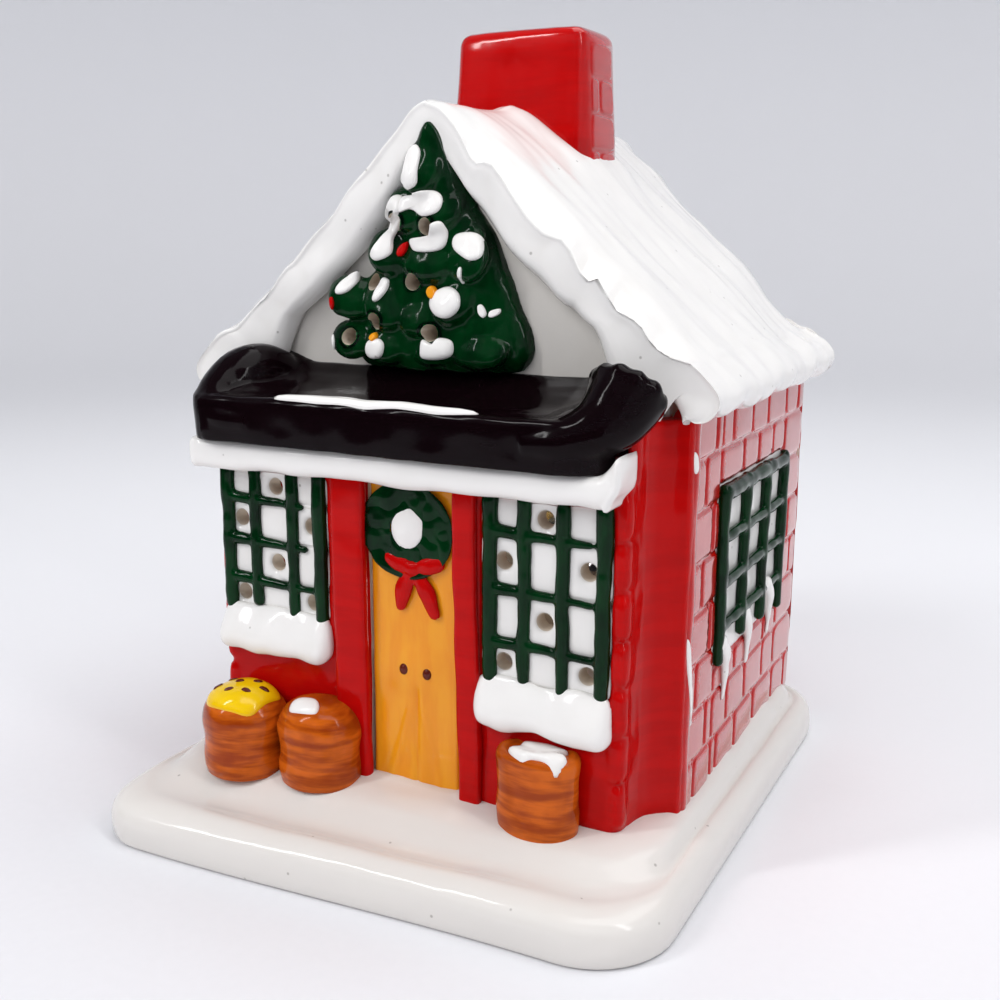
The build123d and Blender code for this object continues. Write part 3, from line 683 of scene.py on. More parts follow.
def add_specks(tree, place, colour, share):
    """Colour with a few specks of grit in it."""
    mask = place_group(tree, kiln_specks(), Vector=place, Scale=640.0, Share=share).outputs["Mask"]
    return blend(tree, maths(tree, "MULTIPLY", mask, 0.45), colour, paint(srgb(96, 84, 74)))


def glaze_gloss(tree, shader, place, coat=None, ior=1.42):
    """Fired gloss: a rippled surface, uneven roughness and a coat that mirrors over a range of facing."""
    height = place_group(tree, glaze_ripple(), Vector=place, Swell=0.6, Peel=0.08).outputs["Height"]
    add_bump(tree, shader, height, 0.5, 0.0003)
    sheen = new_node(tree, "ShaderNodeTexNoise", vector=place, scale=90.0, detail=3.0)
    vary_roughness(tree, shader, sheen.outputs[0], 0.05, 0.18)
    shader.inputs["IOR"].default_value = ior
    if not coat:
        return
    facing = new_node(tree, "ShaderNodeLayerWeight", blend=0.5).outputs["Facing"]
    tree.links.new(ramp(tree, facing, *coat), shader.inputs["Coat Weight"])
    shader.inputs["Coat Roughness"].default_value = 0.05
    shader.inputs["Coat IOR"].default_value = 1.6


def glaze(name, body, pool, thin, specks=0.0, coat=None, ior=1.42, **shades):
    """Glossy fired glaze over relief."""
    if name in bpy.data.materials:
        return bpy.data.materials[name]
    material, tree, shader, place = bare_material(name)
    relief = new_node(tree, "ShaderNodeAttribute", attribute_name="relief").outputs["Fac"]
    colour = glaze_colour(tree, place, relief, body, pool, thin, **shades)
    if specks:
        colour = add_specks(tree, place, colour, specks)
    tree.links.new(colour, shader.inputs["Base Color"])
    glaze_gloss(tree, shader, place, coat, ior)
    return material


def colours():
    """Glaze colours of the scene."""
    return bpy.context.scene.village_colours


def sizes(name):
    """A size of the scene, in millimetres."""
    return getattr(bpy.context.scene.village_sizes, name) / MM


def snow_glaze():
    """Warm white glaze with a few specks of grit."""
    tone = colours()
    white = srgb(242, 240, 235)
    return glaze("fired_snow", tone.snow, tone.snow_pool, white, cloud=0.5, depth=1.2, specks=0.03, ior=1.38)


def drift_glaze():
    """Snow glaze of the base, a little greyer than the roof's."""
    tone = colours()
    return glaze(
        "fired_drift", tone.drift, tone.snow_pool, tone.snow, cloud=0.6, depth=1.4, specks=0.03, ior=1.38
    )


def red_glaze(name="fired_red", coat=None, ior=1.22):
    """Deep red glaze that breaks paler on edges."""
    tone = colours()
    streak = ((60.0, 60.0, 420.0), 0.3, srgb(150, 5, 6))
    return glaze(name, tone.red, tone.red_pool, tone.red_thin, cloud=0.7, streak=streak, coat=coat, ior=ior)


def wall_glaze():
    """Red glaze of the walls and the chimney, which mirrors the paper at a slant."""
    return red_glaze("fired_wall", (0.26, 0.86), 1.42)


def green_glaze():
    """Dark bottle-green glaze with pale broken ridges."""
    tone = colours()
    streak = ((300.0, 90.0, 90.0), 0.45, tone.green_pool)
    return glaze(
        "fired_green", tone.green, tone.green_pool, tone.green_thin, cloud=3.4, cloud_scale=100.0, depth=3.2,
        ior=1.26, streak=streak,
    )


def awning_glaze():
    """Near-black maroon glaze."""
    tone = colours()
    streak = ((80.0, 500.0, 500.0), 0.35, srgb(10, 3, 6))
    return glaze(
        "fired_brown", tone.brown, srgb(8, 3, 5), tone.brown_thin, cloud=1.0, depth=1.8, ior=1.19,
        streak=streak,
    )


def door_glaze():
    """Amber glaze brushed down the door."""
    tone = colours()
    streak = ((380.0, 380.0, 60.0), 0.4, tone.door_pool)
    return glaze("fired_amber", tone.door, tone.door_pool, srgb(242, 182, 84), cloud=1.0, streak=streak)


def knob_glaze():
    """Brown glaze dots."""
    tone = colours()
    return glaze("fired_knob", tone.knob, srgb(50, 12, 8), srgb(132, 54, 34), cloud=1.0)


def basket_glaze():
    """Orange-brown glaze with dark bands."""
    tone = colours()
    streak = ((70.0, 70.0, 480.0), 0.75, tone.basket_pool)
    return glaze(
        "fired_basket", tone.basket, tone.basket_pool, srgb(214, 122, 48), cloud=1.4, cloud_scale=200.0,
        depth=2.4, ior=1.3, streak=streak,
    )


def straw_glaze():
    """Bright yellow glaze."""
    tone = colours()
    return glaze("fired_straw", tone.straw, srgb(222, 158, 8), srgb(250, 222, 70), cloud=1.0)


def bare_clay():
    """Matt unglazed clay inside the light holes."""
    if "bare_clay" in bpy.data.materials:
        return bpy.data.materials["bare_clay"]
    material, tree, shader, place = bare_material("bare_clay")
    grain = new_node(tree, "ShaderNodeTexNoise", vector=place, scale=600.0, detail=5.0).outputs[0]
    colour = blend(tree, grain, paint(colours().clay), paint(srgb(196, 184, 168)))
    tree.links.new(colour, shader.inputs["Base Color"])
    add_bump(tree, shader, grain, 0.4, 0.0002)
    shader.inputs["Roughness"].default_value = 0.8
    return material


# Snow base

# Outer skin of the base from its foot to the plateau: (height, inset in front, inset at the sides)
BASE_PROFILE = [
    (0.0, 1.0, 1.0), (0.6, 0.3, 0.3), (3.0, 0.0, 0.0), (5.6, 0.3, 0.3), (7.3, 1.3, 1.1), (8.2, 3.0, 2.0),
    (8.6, 5.4, 2.9), (8.4, 8.2, 3.6), (8.7, 10.8, 4.2), (9.8, 13.2, 4.9), (11.1, 15.6, 5.9),
    (11.8, 18.4, 8.0), (12.0, 21.5, 11.0), (12.1, 24.5, 14.0), (12.1, 28.0, 17.0), (12.0, 34.0, 17.6),
]
# Radii of the base's corners: right front, right back, left back, left front
BASE_CORNERS = (15.0, 13.0, 13.0, 11.0)
BASE_BOW = 4.2
FLOOR_HOLE_CORNER = 8.0
FOOT_WIDTH = 8.0
FOOT_HEIGHT = 2.5
FLOOR_LEDGE = 6.0


def past_walls(x, y):
    """Distance of a place on the base outside the walls of the house and its bay; less than 0 inside them."""
    house = max(abs(x) - WALL_X, FRONT_Y - y, y - BACK_Y)
    bay = max(abs(x) - BAY_HIGH.x, BAY_Y - y, y - FRONT_Y)
    return min(house, bay)


def make_snow_base():
    """Base with a rounded rim, a soft rise to the house and drifts against its walls, hollow underneath."""
    bm = bmesh.new()
    rings = []
    for z, front, side in smooth_run(BASE_PROFILE, 4):
        low = Vector((BASE_LOW.x + side, BASE_LOW.y + front, 0))
        high = Vector((BASE_HIGH.x - side, BASE_HIGH.y - side, 0))
        rings.append(rounded_ring(low, high, [corner - 0.35 * side for corner in BASE_CORNERS], z))
    wall = WALL_HIGH.x - WALL_LOW.x + FLOOR_LEDGE
    low = Vector((wall - WALL_X, FRONT_Y + wall, 0))
    high = Vector((WALL_X - wall, BACK_Y - wall, 0))
    for z in (FLOOR_Z, FLOOR_Z - 0.6, FOOT_HEIGHT + 0.4, FOOT_HEIGHT):
        rings.append(rounded_ring(low, high, [FLOOR_HOLE_CORNER] * 4, z))
    foot = Vector((FOOT_WIDTH, FOOT_WIDTH, 0))
    for z in (FOOT_HEIGHT, FOOT_HEIGHT - 0.5, 0.0):
        corners = [corner - FOOT_WIDTH / 2 for corner in BASE_CORNERS]
        rings.append(rounded_ring(BASE_LOW + foot, BASE_HIGH - foot, corners, z))
    loft(bm, rings, closed=True)
    close_up(bm)

    def on_top(place):
        return ease(1.5, 6.0, place.z)

    wave = sizes("snow_wave")
    waver(bm, wave, 22.0, 1.0, on_top)
    waver(bm, wave * 0.4, 8.0, 2.0, on_top)
    for vert in bm.verts:
        x, y, z = vert.co
        ridge = math.exp(-((y + 55.5) / 1.7) ** 2) * ease(-48, -36, x) * (1 - ease(20, 42, x))
        trough = math.exp(-((y + 51.0) / 2.6) ** 2) * ease(-46, -34, x) * (1 - ease(18, 40, x))
        vert.co.z += ease(7.6, 8.2, z) * (0.35 * ridge - 0.5 * trough)
        past = past_walls(x, y)
        if z > FLOOR_Z - 2.5 and past > -3:
            drift = 0.2 + 1.8 * max(0.0, bumps((x, y, 0), 9.0, 4.0))
            vert.co.z += drift * math.exp(-max(0.0, past) / 1.8)
        vert.co.y -= BASE_BOW * (1 - ease(-46, 40, x)) * (1 - ease(-58, -38, y))
    return finish_piece(bm, "snow_base", [drift_glaze()], reach=0.4, rounds=14)


# Brick walls


def cut_faces(bm, faces, point, normal):
    """Cuts faces along a plane."""
    parts = {item for face in faces for item in (*face.verts, *face.edges, face)}
    bmesh.ops.bisect_plane(bm, geom=list(parts), plane_co=point, plane_no=normal)


def lay_bricks(bm, tag, number, along, up, brick, course, seed, depth=1.0):
    """Cuts the tagged faces into bricks in running bond and raises each out of its joints."""
    joint = sizes("joint_width")
    relief = sizes("brick_relief") * depth
    along, up = Vector(along), Vector(up)
    chance = random.Random(seed)

    def tagged():
        return [face for face in bm.faces if face[tag] == number]

    def spread(face, axis):
        marks = [vert.co.dot(axis) for vert in face.verts]
        return min(marks), max(marks)

    low = min(spread(face, up)[0] for face in tagged())
    high = max(spread(face, up)[1] for face in tagged())
    left = min(spread(face, along)[0] for face in tagged())
    right = max(spread(face, along)[1] for face in tagged())
    rows = round((high - low) / course)
    levels = [low + (high - low) * row / rows for row in range(rows + 1)]
    for level in levels[1:-1]:
        near = [face for face in tagged() if spread(face, up)[0] + 2.2 < level < spread(face, up)[1] - 2.2]
        if near:
            cut_faces(bm, near, up * level, up)
    for row, (bottom, top) in enumerate(zip(levels, levels[1:])):
        mark = left + brick * (0.5 + 0.5 * (row % 2)) + chance.uniform(-1.2, 1.2)
        while mark < right - 3.0:
            middle = (bottom + top) / 2
            near = []
            for face in tagged():
                centre = face.calc_center_median().dot(up)
                start, end = spread(face, along)
                if abs(centre - middle) < course / 2 and start + 3.0 < mark < end - 3.0:
                    near.append(face)
            if near:
                cut_faces(bm, near, along * mark, along)
            mark += brick * chance.uniform(0.86, 1.14)
    edges = {edge for face in tagged() for edge in face.edges if edge.calc_length() > 2.4}
    bmesh.ops.subdivide_edges(bm, edges=list(edges), cuts=2)
    for vert in {vert for face in tagged() for vert in face.verts}:
        sideways = along * joint * 0.3 * bumps(vert.co, 3.6, seed)
        vert.co += sideways + up * joint * 0.3 * bumps(vert.co, 4.2, seed + 5)
    bricks = tagged()
    bmesh.ops.inset_individual(bm, faces=bricks, thickness=joint / 2, depth=0.0, use_even_offset=False)
    bmesh.ops.inset_individual(bm, faces=bricks, thickness=0.3, depth=relief * 0.75, use_even_offset=False)
    bmesh.ops.inset_individual(bm, faces=bricks, thickness=0.35, depth=relief * 0.25, use_even_offset=False)
    for face in bricks:
        sink = face.normal * relief * chance.uniform(0.0, 0.35)
        for vert in face.verts:
            vert.co -= sink + face.normal * relief * chance.uniform(0.0, 0.15)


def crease_frame(bm, tag):
    """Keeps the edges between differently tagged faces crisp under subdivision."""
    crease = bm.edges.layers.float.get("crease_edge") or bm.edges.layers.float.new("crease_edge")
    for edge in bm.edges:
        if len({face[tag] for face in edge.link_faces}) > 1:
            edge[crease] = 0.85


def carry_face(bm, face, offset):
    """Carries a copy of a face by an offset and closes the sides between them."""
    grown = bmesh.ops.extrude_face_region(bm, geom=[face], use_keep_orig=True)["geom"]
    verts = [item for item in grown if isinstance(item, bmesh.types.BMVert)]
    bmesh.ops.translate(bm, vec=offset, verts=verts)


def slab(bm, tag, outline, back):
    """Closed slab: a tagged front face through the outline, carried back."""
    front = bm.faces.new([bm.verts.new(point) for point in outline])
    front[tag] = 1
    carry_face(bm, front, back)
    for face in bm.faces:
        if face is not front:
            face[tag] = 2 + [abs(round(part)) for part in face.normal].index(1)
    bmesh.ops.recalc_face_normals(bm, faces=bm.faces)
    return front


def hand_laid(bm, along, seed):
    """Bends straight joints a little in the plane of the wall, as hand-cut ones are."""
    share = sizes("hand_waver") * 1.5
    for vert in bm.verts:
        vert.co += Vector(along) * share * bumps(vert.co, 9.0, seed)
        vert.co.z += share * bumps(vert.co, 11.0, seed + 3)


def worn(bm, chosen):
    """Softens the relief of the chosen places, as glaze does when it fills joints."""
    verts = [vert for vert in bm.verts if chosen(vert.co)]
    for _ in range(2):
        bmesh.ops.smooth_vert(bm, verts=verts, factor=0.5, use_axis_x=True, use_axis_y=True, use_axis_z=True)
    return bm


WALL_FOOT = 2.0
WALL_TOP = 85.2
CORNER_OUT = 0.7
CORNER_WIDTH = 3.8


def add_shell(bm, other):
    """Adds the shells of another bmesh, which is freed."""
    mesh = bpy.data.meshes.new("shell")
    other.to_mesh(mesh)
    other.free()
    bm.from_mesh(mesh)
    bpy.data.meshes.remove(mesh)


def bare_inside(bm, inside):
    """Leaves the faces inside the house without glaze."""
    for face in bm.faces:
        if inside(face.calc_center_median()):
            face.material_index = 1


def make_side_wall(side):
    """Brick side wall with a sunk place for its window."""
    bm = bmesh.new()
    tag = bm.faces.layers.int.new("tag")
    low, high = FLOOR_Z - WALL_FOOT, WALL_TOP
    joint_x = WALL_X - sizes("brick_relief")
    back = BACK_Y - sizes("brick_relief") - 0.2
    outline = [(joint_x, FRONT_Y, low), (joint_x, back, low), (joint_x, back, high), (joint_x, FRONT_Y, high)]
    slab(bm, tag, outline, (WALL_LOW.x - joint_x, 0, 0))

    def by_window(face):
        return face[tag] == 1 and SIDE_LOW.y < face.calc_center_median().y < SIDE_HIGH.y

    for depth in (SIDE_LOW.y, SIDE_HIGH.y):
        cut_faces(bm, [face for face in bm.faces if face[tag] == 1], (0, depth, 0), (0, 1, 0))
    for level in (SIDE_LOW.z, SIDE_HIGH.z):
        cut_faces(bm, [face for face in bm.faces if by_window(face)], (0, 0, level), (0, 0, 1))
    for face in bm.faces:
        if by_window(face) and SIDE_LOW.z < face.calc_center_median().z < SIDE_HIGH.z:
            face[tag] = 9
    lay_bricks(bm, tag, 1, (0, 1, 0), (0, 0, 1), sizes("brick_length"), sizes("course_height"), 5)
    sunk = [face for face in bm.faces if face[tag] == 9]
    bmesh.ops.inset_individual(bm, faces=sunk, thickness=0.3, depth=-1.8, use_even_offset=False)
    crease_frame(bm, tag)
    hand_laid(bm, (0, 1, 0), 3.0)
    name = sided(side, "wall")
    bm = worn(rounded(bm), lambda place: place.x > WALL_X - 1.2)
    post = bmesh.new()
    soft_block(
        post, (WALL_X - 5.0, FRONT_Y - CORNER_OUT, low), (WALL_X + 0.2, FRONT_Y + CORNER_WIDTH, high), 2.3
    )
    post = fuse(post, 0.6, 4)
    waver(post, 0.35, 9.0, 33.0)
    add_shell(bm, post)
    bmesh.ops.scale(bm, vec=(side, 1, 1), verts=bm.verts)
    bare_inside(bm, lambda place: abs(place.x) < WALL_LOW.x + 0.6)
    return finish_piece(bm, name, [wall_glaze(), bare_clay()], reach=0.3, rounds=6)


LAMP_HOLE_R = 15.0
GABLE_SINK = 1.0


def make_back_wall():
    """Brick gable wall at the back, cut to the roof's slopes, with the round hole for the lamp."""
    bm = bmesh.new()
    tag = bm.faces.layers.int.new("tag")
    half, high = WALL_X - 0.3, BACK_HIGH.z
    low = FLOOR_Z - WALL_FOOT
    joint_y = BACK_Y - sizes("brick_relief")
    outline = [(half, joint_y, low), (-half, joint_y, low), (-half, joint_y, high), (half, joint_y, high)]
    slab(bm, tag, outline, (0, BACK_LOW.y - joint_y, 0))
    lay_bricks(bm, tag, 1, (1, 0, 0), (0, 0, 1), sizes("brick_length"), sizes("course_height"), 8)
    crease_frame(bm, tag)
    hand_laid(bm, (1, 0, 0), 7.0)
    bm = worn(rounded(bm), lambda place: place.y > BACK_Y - 1.2)
    cutters = bmesh.new()
    drill(cutters, (0, BACK_Y, LAMP_Z), LAMP_HOLE_R, 64)
    eave = math.atan2(high - WALL_HIGH.z, half)
    for side in (-1, 1):
        tip = Matrix.Translation((0, BACK_Y, high - GABLE_SINK)) @ Matrix.Rotation(side * eave, 4, "Y")
        size = Matrix.Diagonal((3.2 * half, 40, 2 * half, 1))
        above = tip @ Matrix.Translation((side * half, 0, half)) @ size
        bmesh.ops.create_cube(cutters, size=1.0, matrix=above)
    bm = carve(bm, cutters)
    bare_inside(bm, lambda place: place.y < BACK_Y - 1.6)
    materials = [wall_glaze(), bare_clay()]
    return finish_piece(bm, "back_wall", materials, reach=0.3, rounds=6, sharp=50)


# Roof

# Right half of the roof's section from the ridge over the eave to the top of the wall: (across, height)
ROOF_SECTION = [
    (0.0, 137.0), (3.6, 135.8), (9.0, 131.4), (18.0, 123.2), (28.0, 113.6), (38.0, 104.0), (46.0, 96.4),
    (51.0, 91.8), (54.0, 88.4), (54.4, 86.0), (53.0, 84.0), (50.6, 83.4), (48.4, 84.6),
]
ROOF_INNER_RIDGE = 126.6
RAKE_OUT = 5.2
RAKE_LIP = 0.4
EAVE_TAPER = 2.0


def roof_rows():
    """Top and underside of the roof's section, paired point by point from the left eave to the right one."""
    right = smooth_run(ROOF_SECTION, 6)
    steps = [0.0]
    for before, after in zip(right, right[1:]):
        steps.append(steps[-1] + float(np.linalg.norm(after - before)))
    inner_eave = np.array(ROOF_SECTION[-1])
    inner_ridge = np.array((0.0, ROOF_INNER_RIDGE))
    under = [inner_ridge + (inner_eave - inner_ridge) * step / steps[-1] for step in steps]
    flip = np.array((-1.0, 1.0))
    top_row = [point * flip for point in right[:0:-1]] + right
    under_row = [point * flip for point in under[:0:-1]] + under
    runs = [-step for step in steps[:0:-1]] + steps
    return top_row, under_row, runs


def roof_top(x, y, z, run):
    """Height of the roof snow: soft heaps, streaks down the slopes and drifts about the chimney."""
    flat = ease(0, 8, abs(run)) * (1 - 0.6 * ease(60, 70, abs(run)))
    streak = sizes("roof_streak")
    bend = y + 2.2 * bumps((run, y, 4), 26.0, 8.0)
    z += flat * 0.4 * bumps((run * 0.5, bend * 1.3, 0), 9.0, 3.0)
    combed = bumps((run * 0.5, bend * 2.2, 5), 9.0, 9.0) + 0.5 * bumps((run, bend * 4.4, 5), 9.0, 2.0)
    z += flat * streak * combed
    z += 0.8 * bumps((run, y, 0), 15.0, 6.0)
    drift = math.exp(-((y - 5.0) / 5.0) ** 2) * math.exp(-((x + 4.0) / 9.0) ** 2)
    foot = math.exp(-((y - 17.0) / 13.0) ** 4) * math.exp(-((abs(x) - 14.0) / 6.0) ** 2)
    return z + 2.0 * drift + 2.2 * foot


def make_snow_roof():
    """Both slopes in one skin of snow: convex, combed, with lumpy rakes that fold down at both ends."""
    bm = bmesh.new()
    top_row, under_row, runs = roof_rows()
    front, back = FRONT_Y - RAKE_OUT, BACK_Y + RAKE_OUT - 2.2
    rings = []

    def add_ring(tops, unders):
        rings.append(tops + unders[-2:0:-1])

    def face_rings(wall_y, rake_y, outward, seed):
        """Rings of the rake's face, from the gable up to the crisp edge of the roof."""
        found = []
        for share in (0.0, 0.08, 0.16, 0.25, 0.34, 0.43, 0.52, 0.61, 0.7, 0.78, 0.85, 0.9, 0.93, 0.95, 0.985):
            fold = 0.95 * ease(0.0, 0.4, share) + 0.05 * ease(0.9, 0.985, share)
            hang = ease(0.0, 0.14, share) * (1 - ease(0.14, 0.8, share))
            tops, unders = [], []
            for run, top, under in zip(runs, top_row, under_row):
                x, z = under + (top - under) * share
                lumps = bumps((run, 14 * share, 0), 9.0, seed) + 0.5 * bumps((run, 9 * share, 4), 4.5, seed)
                swell = 0.8 * lumps * math.sin(math.pi * min(1.0, share * 0.8 + 0.1))
                y = wall_y + (rake_y - wall_y) * fold + outward * swell
                droop = edge_droop(run, seed) * share
                sag = rake_sag(abs(run), outward) * hang + (1 - share) * (1 - ease(60, 66, abs(run)))
                tops.append(Vector((x, y + outward * edge_scallop(run, seed) * share, z - droop - sag)))
                unders.append(Vector((under[0], wall_y - outward * (0.4 + share), under[1])))
            if share == 0.0:
                unders = list(tops)
            found.append((tops, unders))
        return found

    for tops, unders in face_rings(FRONT_Y, front, -1, 1.0):
        add_ring(tops, unders)
    length = back - front
    near_edge = (0.0, 0.25, 0.7, 1.5, 2.6)
    stations = [*near_edge, *range(4, int(length) - 3), *(length - step for step in reversed(near_edge))]
    for station in stations:
        y = front + station
        near_front = math.exp(-(station / 4.2) ** 1.3)
        near_back = math.exp(-((back - y) / 4.2) ** 1.3)
        lip = RAKE_LIP * (math.exp(-((station - 2.2) / 1.6) ** 2) + math.exp(-((back - y - 2.2) / 1.6) ** 2))
        inner = FRONT_Y + 1.4 + (BACK_Y - FRONT_Y - 2.8) * station / length
        tops, unders = [], []
        for run, (x, z), (under_x, under_z) in zip(runs, top_row, under_row):
            z = roof_top(x, y, z, run)
            z -= edge_droop(run, 1.0) * near_front + edge_droop(run, 5.0) * near_back
            z += lip * 0.5 * (1 - ease(62, 70, abs(run)))
            shift = -edge_scallop(run, 1.0) * near_front + edge_scallop(run, 5.0) * near_back
            taper = ease(46, 64, abs(run)) * (1 - ease(67, 71, abs(run)))
            x -= math.copysign(EAVE_TAPER, x) * ease(5, 57, y) * taper
            if abs(run) > 66:
                z += 0.9 * bumps((0, y, run * 0.05), 8.0, 12.0)
                x += 0.7 * math.copysign(1, x) * bumps((4, y, 0), 7.0, 15.0)
            tops.append(Vector((x, y + shift, z)))
            unders.append(Vector((under_x, inner, under_z)))
        unders[0], unders[-1] = tops[0], tops[-1]
        add_ring(tops, unders)
    for tops, unders in face_rings(BACK_Y, back, 1, 5.0)[::-1]:
        add_ring(tops, unders)
    loft(bm, rings)
    nodes = ["left_roof_slope", "right_roof_slope"]
    return finish_piece(bm, "snow_roof", [snow_glaze()], reach=0.5, rounds=10, nodes=nodes)


def edge_scallop(run, seed):
    """How far the rake's crisp edge swings forward at a distance down the slope."""
    return 0.35 * bumps((run, 0, 3), 8.5, seed) + 0.15 * bumps((run, 4, 0), 4.0, seed)


def edge_droop(run, seed):
    """How far the snow hangs over the rake at a distance down the slope, in uneven waves."""
    wave = math.cos(2 * math.pi * run / 12.5 + 4.0 * bumps((run, 7, 0), 17.0, seed + 2))
    depth = 1.2 + 0.7 * bumps((run, 2, 5), 11.0, seed) if run > 0 else 0.3
    ragged = (0.8 if run > 0 else 0.25) * bumps((run, 5, 1), 4.2, seed)
    hang = 3.6 + wave * depth + 1.2 * bumps((run, 1, 2), 15.0, seed + 4) + ragged
    return max(0.0, hang) * (0.3 + 0.7 * ease(0, 9, abs(run))) * (1 - ease(56, 68, abs(run)))


def rake_sag(run, outward):
    """How far the rake's lower lip hangs at a distance down the slope, most at the foot of the front one."""
    foot = 9.6 if outward < 0 else 3.0
    slope = 3.2 * ease(6, 24, run) * (1 - 0.4 * ease(40, 52, run))
    return slope + foot * ease(50, 62, run) * (1 - ease(68, 74, run))


# Chimney

CHIMNEY_FLARE = 1.6
CHIMNEY_LEFT = 2.8
CHIMNEY_EDGE = 3.2
CHIMNEY_RELIEF = 0.6
CHIMNEY_SADDLE = 0.5
CHIMNEY_COURSE = 6.2
CHIMNEY_BRICK = 8.4


def make_chimney():
    """Red stack with a smooth front, brick sides, worn edges and a foot that flares into the snow."""
    bm = bmesh.new()
    tag = bm.faces.layers.int.new("tag")
    low = ROOF_HIGH.z - 13.0
    left, right = STACK_LOW.x - CHIMNEY_LEFT, STACK_HIGH.x + 0.3
    outline = [
        (left, STACK_LOW.y, low), (right, STACK_LOW.y, low), (right, STACK_HIGH.y, low),
        (left, STACK_HIGH.y, low)
    ]
    foot = slab(bm, tag, outline, (0, 0, STACK_HIGH.z - low))
    foot[tag] = 6
    for face in bm.faces:
        if abs(face.normal.x) > 0.5:
            face[tag] = 1 if face.normal.x > 0 else 7
        elif face.normal.y > 0.5:
            face[tag] = 8
        elif face.normal.z > 0.5:
            face[tag] = 4
    upright = [edge for edge in bm.edges if abs((edge.verts[0].co - edge.verts[1].co).z) > 1]
    crown = [edge for edge in bm.edges if min(vert.co.z for vert in edge.verts) > STACK_HIGH.z - 1]
    round_edges(bm, upright + crown, CHIMNEY_EDGE)
    for face in bm.faces:
        if face.calc_area() < 60:
            face[tag] = 5
    top = STACK_HIGH.z - CHIMNEY_EDGE
    rows = round((top - low) / CHIMNEY_COURSE)
    for row in range(1, rows):
        level = (0, 0, low + (top - low) * row / rows)
        cut_faces(bm, bm.faces[:], level, (0, 0, 1))
    for number, along, seed in ((1, (0, 1, 0), 11), (7, (0, 1, 0), 12), (8, (1, 0, 0), 13)):
        lay_bricks(bm, tag, number, along, (0, 0, 1), CHIMNEY_BRICK, CHIMNEY_COURSE, seed, CHIMNEY_RELIEF)
    hand_laid(bm, (0, 1, 0), 21.0)
    for vert in bm.verts:
        flare = CHIMNEY_FLARE * ease(STACK_HIGH.z - 6, ROOF_HIGH.z - 10, vert.co.z)
        middle = (STACK_LOW.y + STACK_HIGH.y) / 2
        vert.co.x *= 1 + flare / STACK_HIGH.x * 0.6
        vert.co.y = middle + (vert.co.y - middle) * (1 + flare / 9.0 * 0.6)
        vert.co.z -= CHIMNEY_SADDLE * abs(vert.co.x) * (1 - ease(low, low + 3.0, vert.co.z))
    waver(bm, 0.25, 9.0, 31.0)
    bm = worn(rounded(bm), lambda place: low + 2.0 < place.z < top)
    return finish_piece(bm, "chimney", [wall_glaze()], reach=0.3, rounds=6)


# Porch: bay, awning and the snow band between them

BAY_WALL = 4.5
BAY_EDGE_R = 2.6
QUOIN_OUT = 0.45
# Cove between the bay's side and the house's corner, from above: (across, depth)
BAY_COVE = [
    (41.0, -35.0), (42.7, -33.0), (43.1, -30.2), (44.2, -27.8), (45.9, -26.0), (47.6, -25.0), (49.0, -24.6),
    (49.0, -21.5), (41.0, -21.5),
]
COVE_TOP = 83.4
DOOR_SIDE_GAP = 0.4


def window_frame(side):
    """Lowest and highest corner of a front window's pane."""
    return box_mm(sided(side, "window_pane"))


def make_porch_bay():
    """Red bay with openings for the windows and the door, and a column of quoins on each front corner."""
    bm = bmesh.new()
    soft_block(bm, (BAY_LOW.x, BAY_Y, FLOOR_Z - WALL_FOOT), (BAY_HIGH.x, FRONT_Y, BAY_HIGH.z), BAY_EDGE_R)
    quoins = 7
    for side in (-1, 1):
        for number in range(quoins):
            height = (BAY_HIGH.z - FLOOR_Z - 4) / quoins
            z = FLOOR_Z + 0.5 + number * height
            inner = side * (BAY_HIGH.x - 2.4 - 0.6 * (number % 2))
            outer = side * (BAY_HIGH.x + QUOIN_OUT)
            low = (min(inner, outer), BAY_Y - QUOIN_OUT, z + 0.3)
            high = (max(inner, outer), BAY_Y + 3.2 + 0.8 * (number % 2), z + height - 0.3)
            soft_block(bm, low, high, 1.4)
        cove = bm.faces.new([bm.verts.new((side * x, y, FLOOR_Z - WALL_FOOT)) for x, y in BAY_COVE])
        carry_face(bm, cove, (0, 0, COVE_TOP - FLOOR_Z + WALL_FOOT))
    cutters = bmesh.new()
    inside = BAY_HIGH.x - BAY_WALL
    reach = 3.0
    soft_block(cutters, (-inside, BAY_Y + BAY_WALL, FLOOR_Z - 9), (inside, FRONT_Y + 9, BAY_HIGH.z + 9), 0.2)
    for side in (-1, 1):
        low, high = window_frame(side)
        soft_block(cutters, (low.x, BAY_Y - reach, low.z), (high.x, BAY_Y + 2 * BAY_WALL, high.z), 0.2)
    door_low = (DOOR_LOW.x - DOOR_SIDE_GAP, BAY_Y - reach, FLOOR_Z - 9)
    door_high = (DOOR_HIGH.x + DOOR_SIDE_GAP, BAY_Y + 2 * BAY_WALL, DOOR_HIGH.z + DOOR_SIDE_GAP)
    soft_block(cutters, door_low, door_high, 0.2)
    bm = fuse(carve(bm, cutters), 0.6, 5)
    waver(bm, 0.28, 10.0, 41.0)
    waver(bm, 0.12, 4.0, 42.0)
    bare_inside(bm, lambda place: place.y > BAY_Y + 1.6 and abs(place.x) < BAY_HIGH.x - 1.8)
    materials = [red_glaze(), bare_clay()]
    return finish_piece(bm, "porch_bay", materials, reach=0.3, rounds=12)


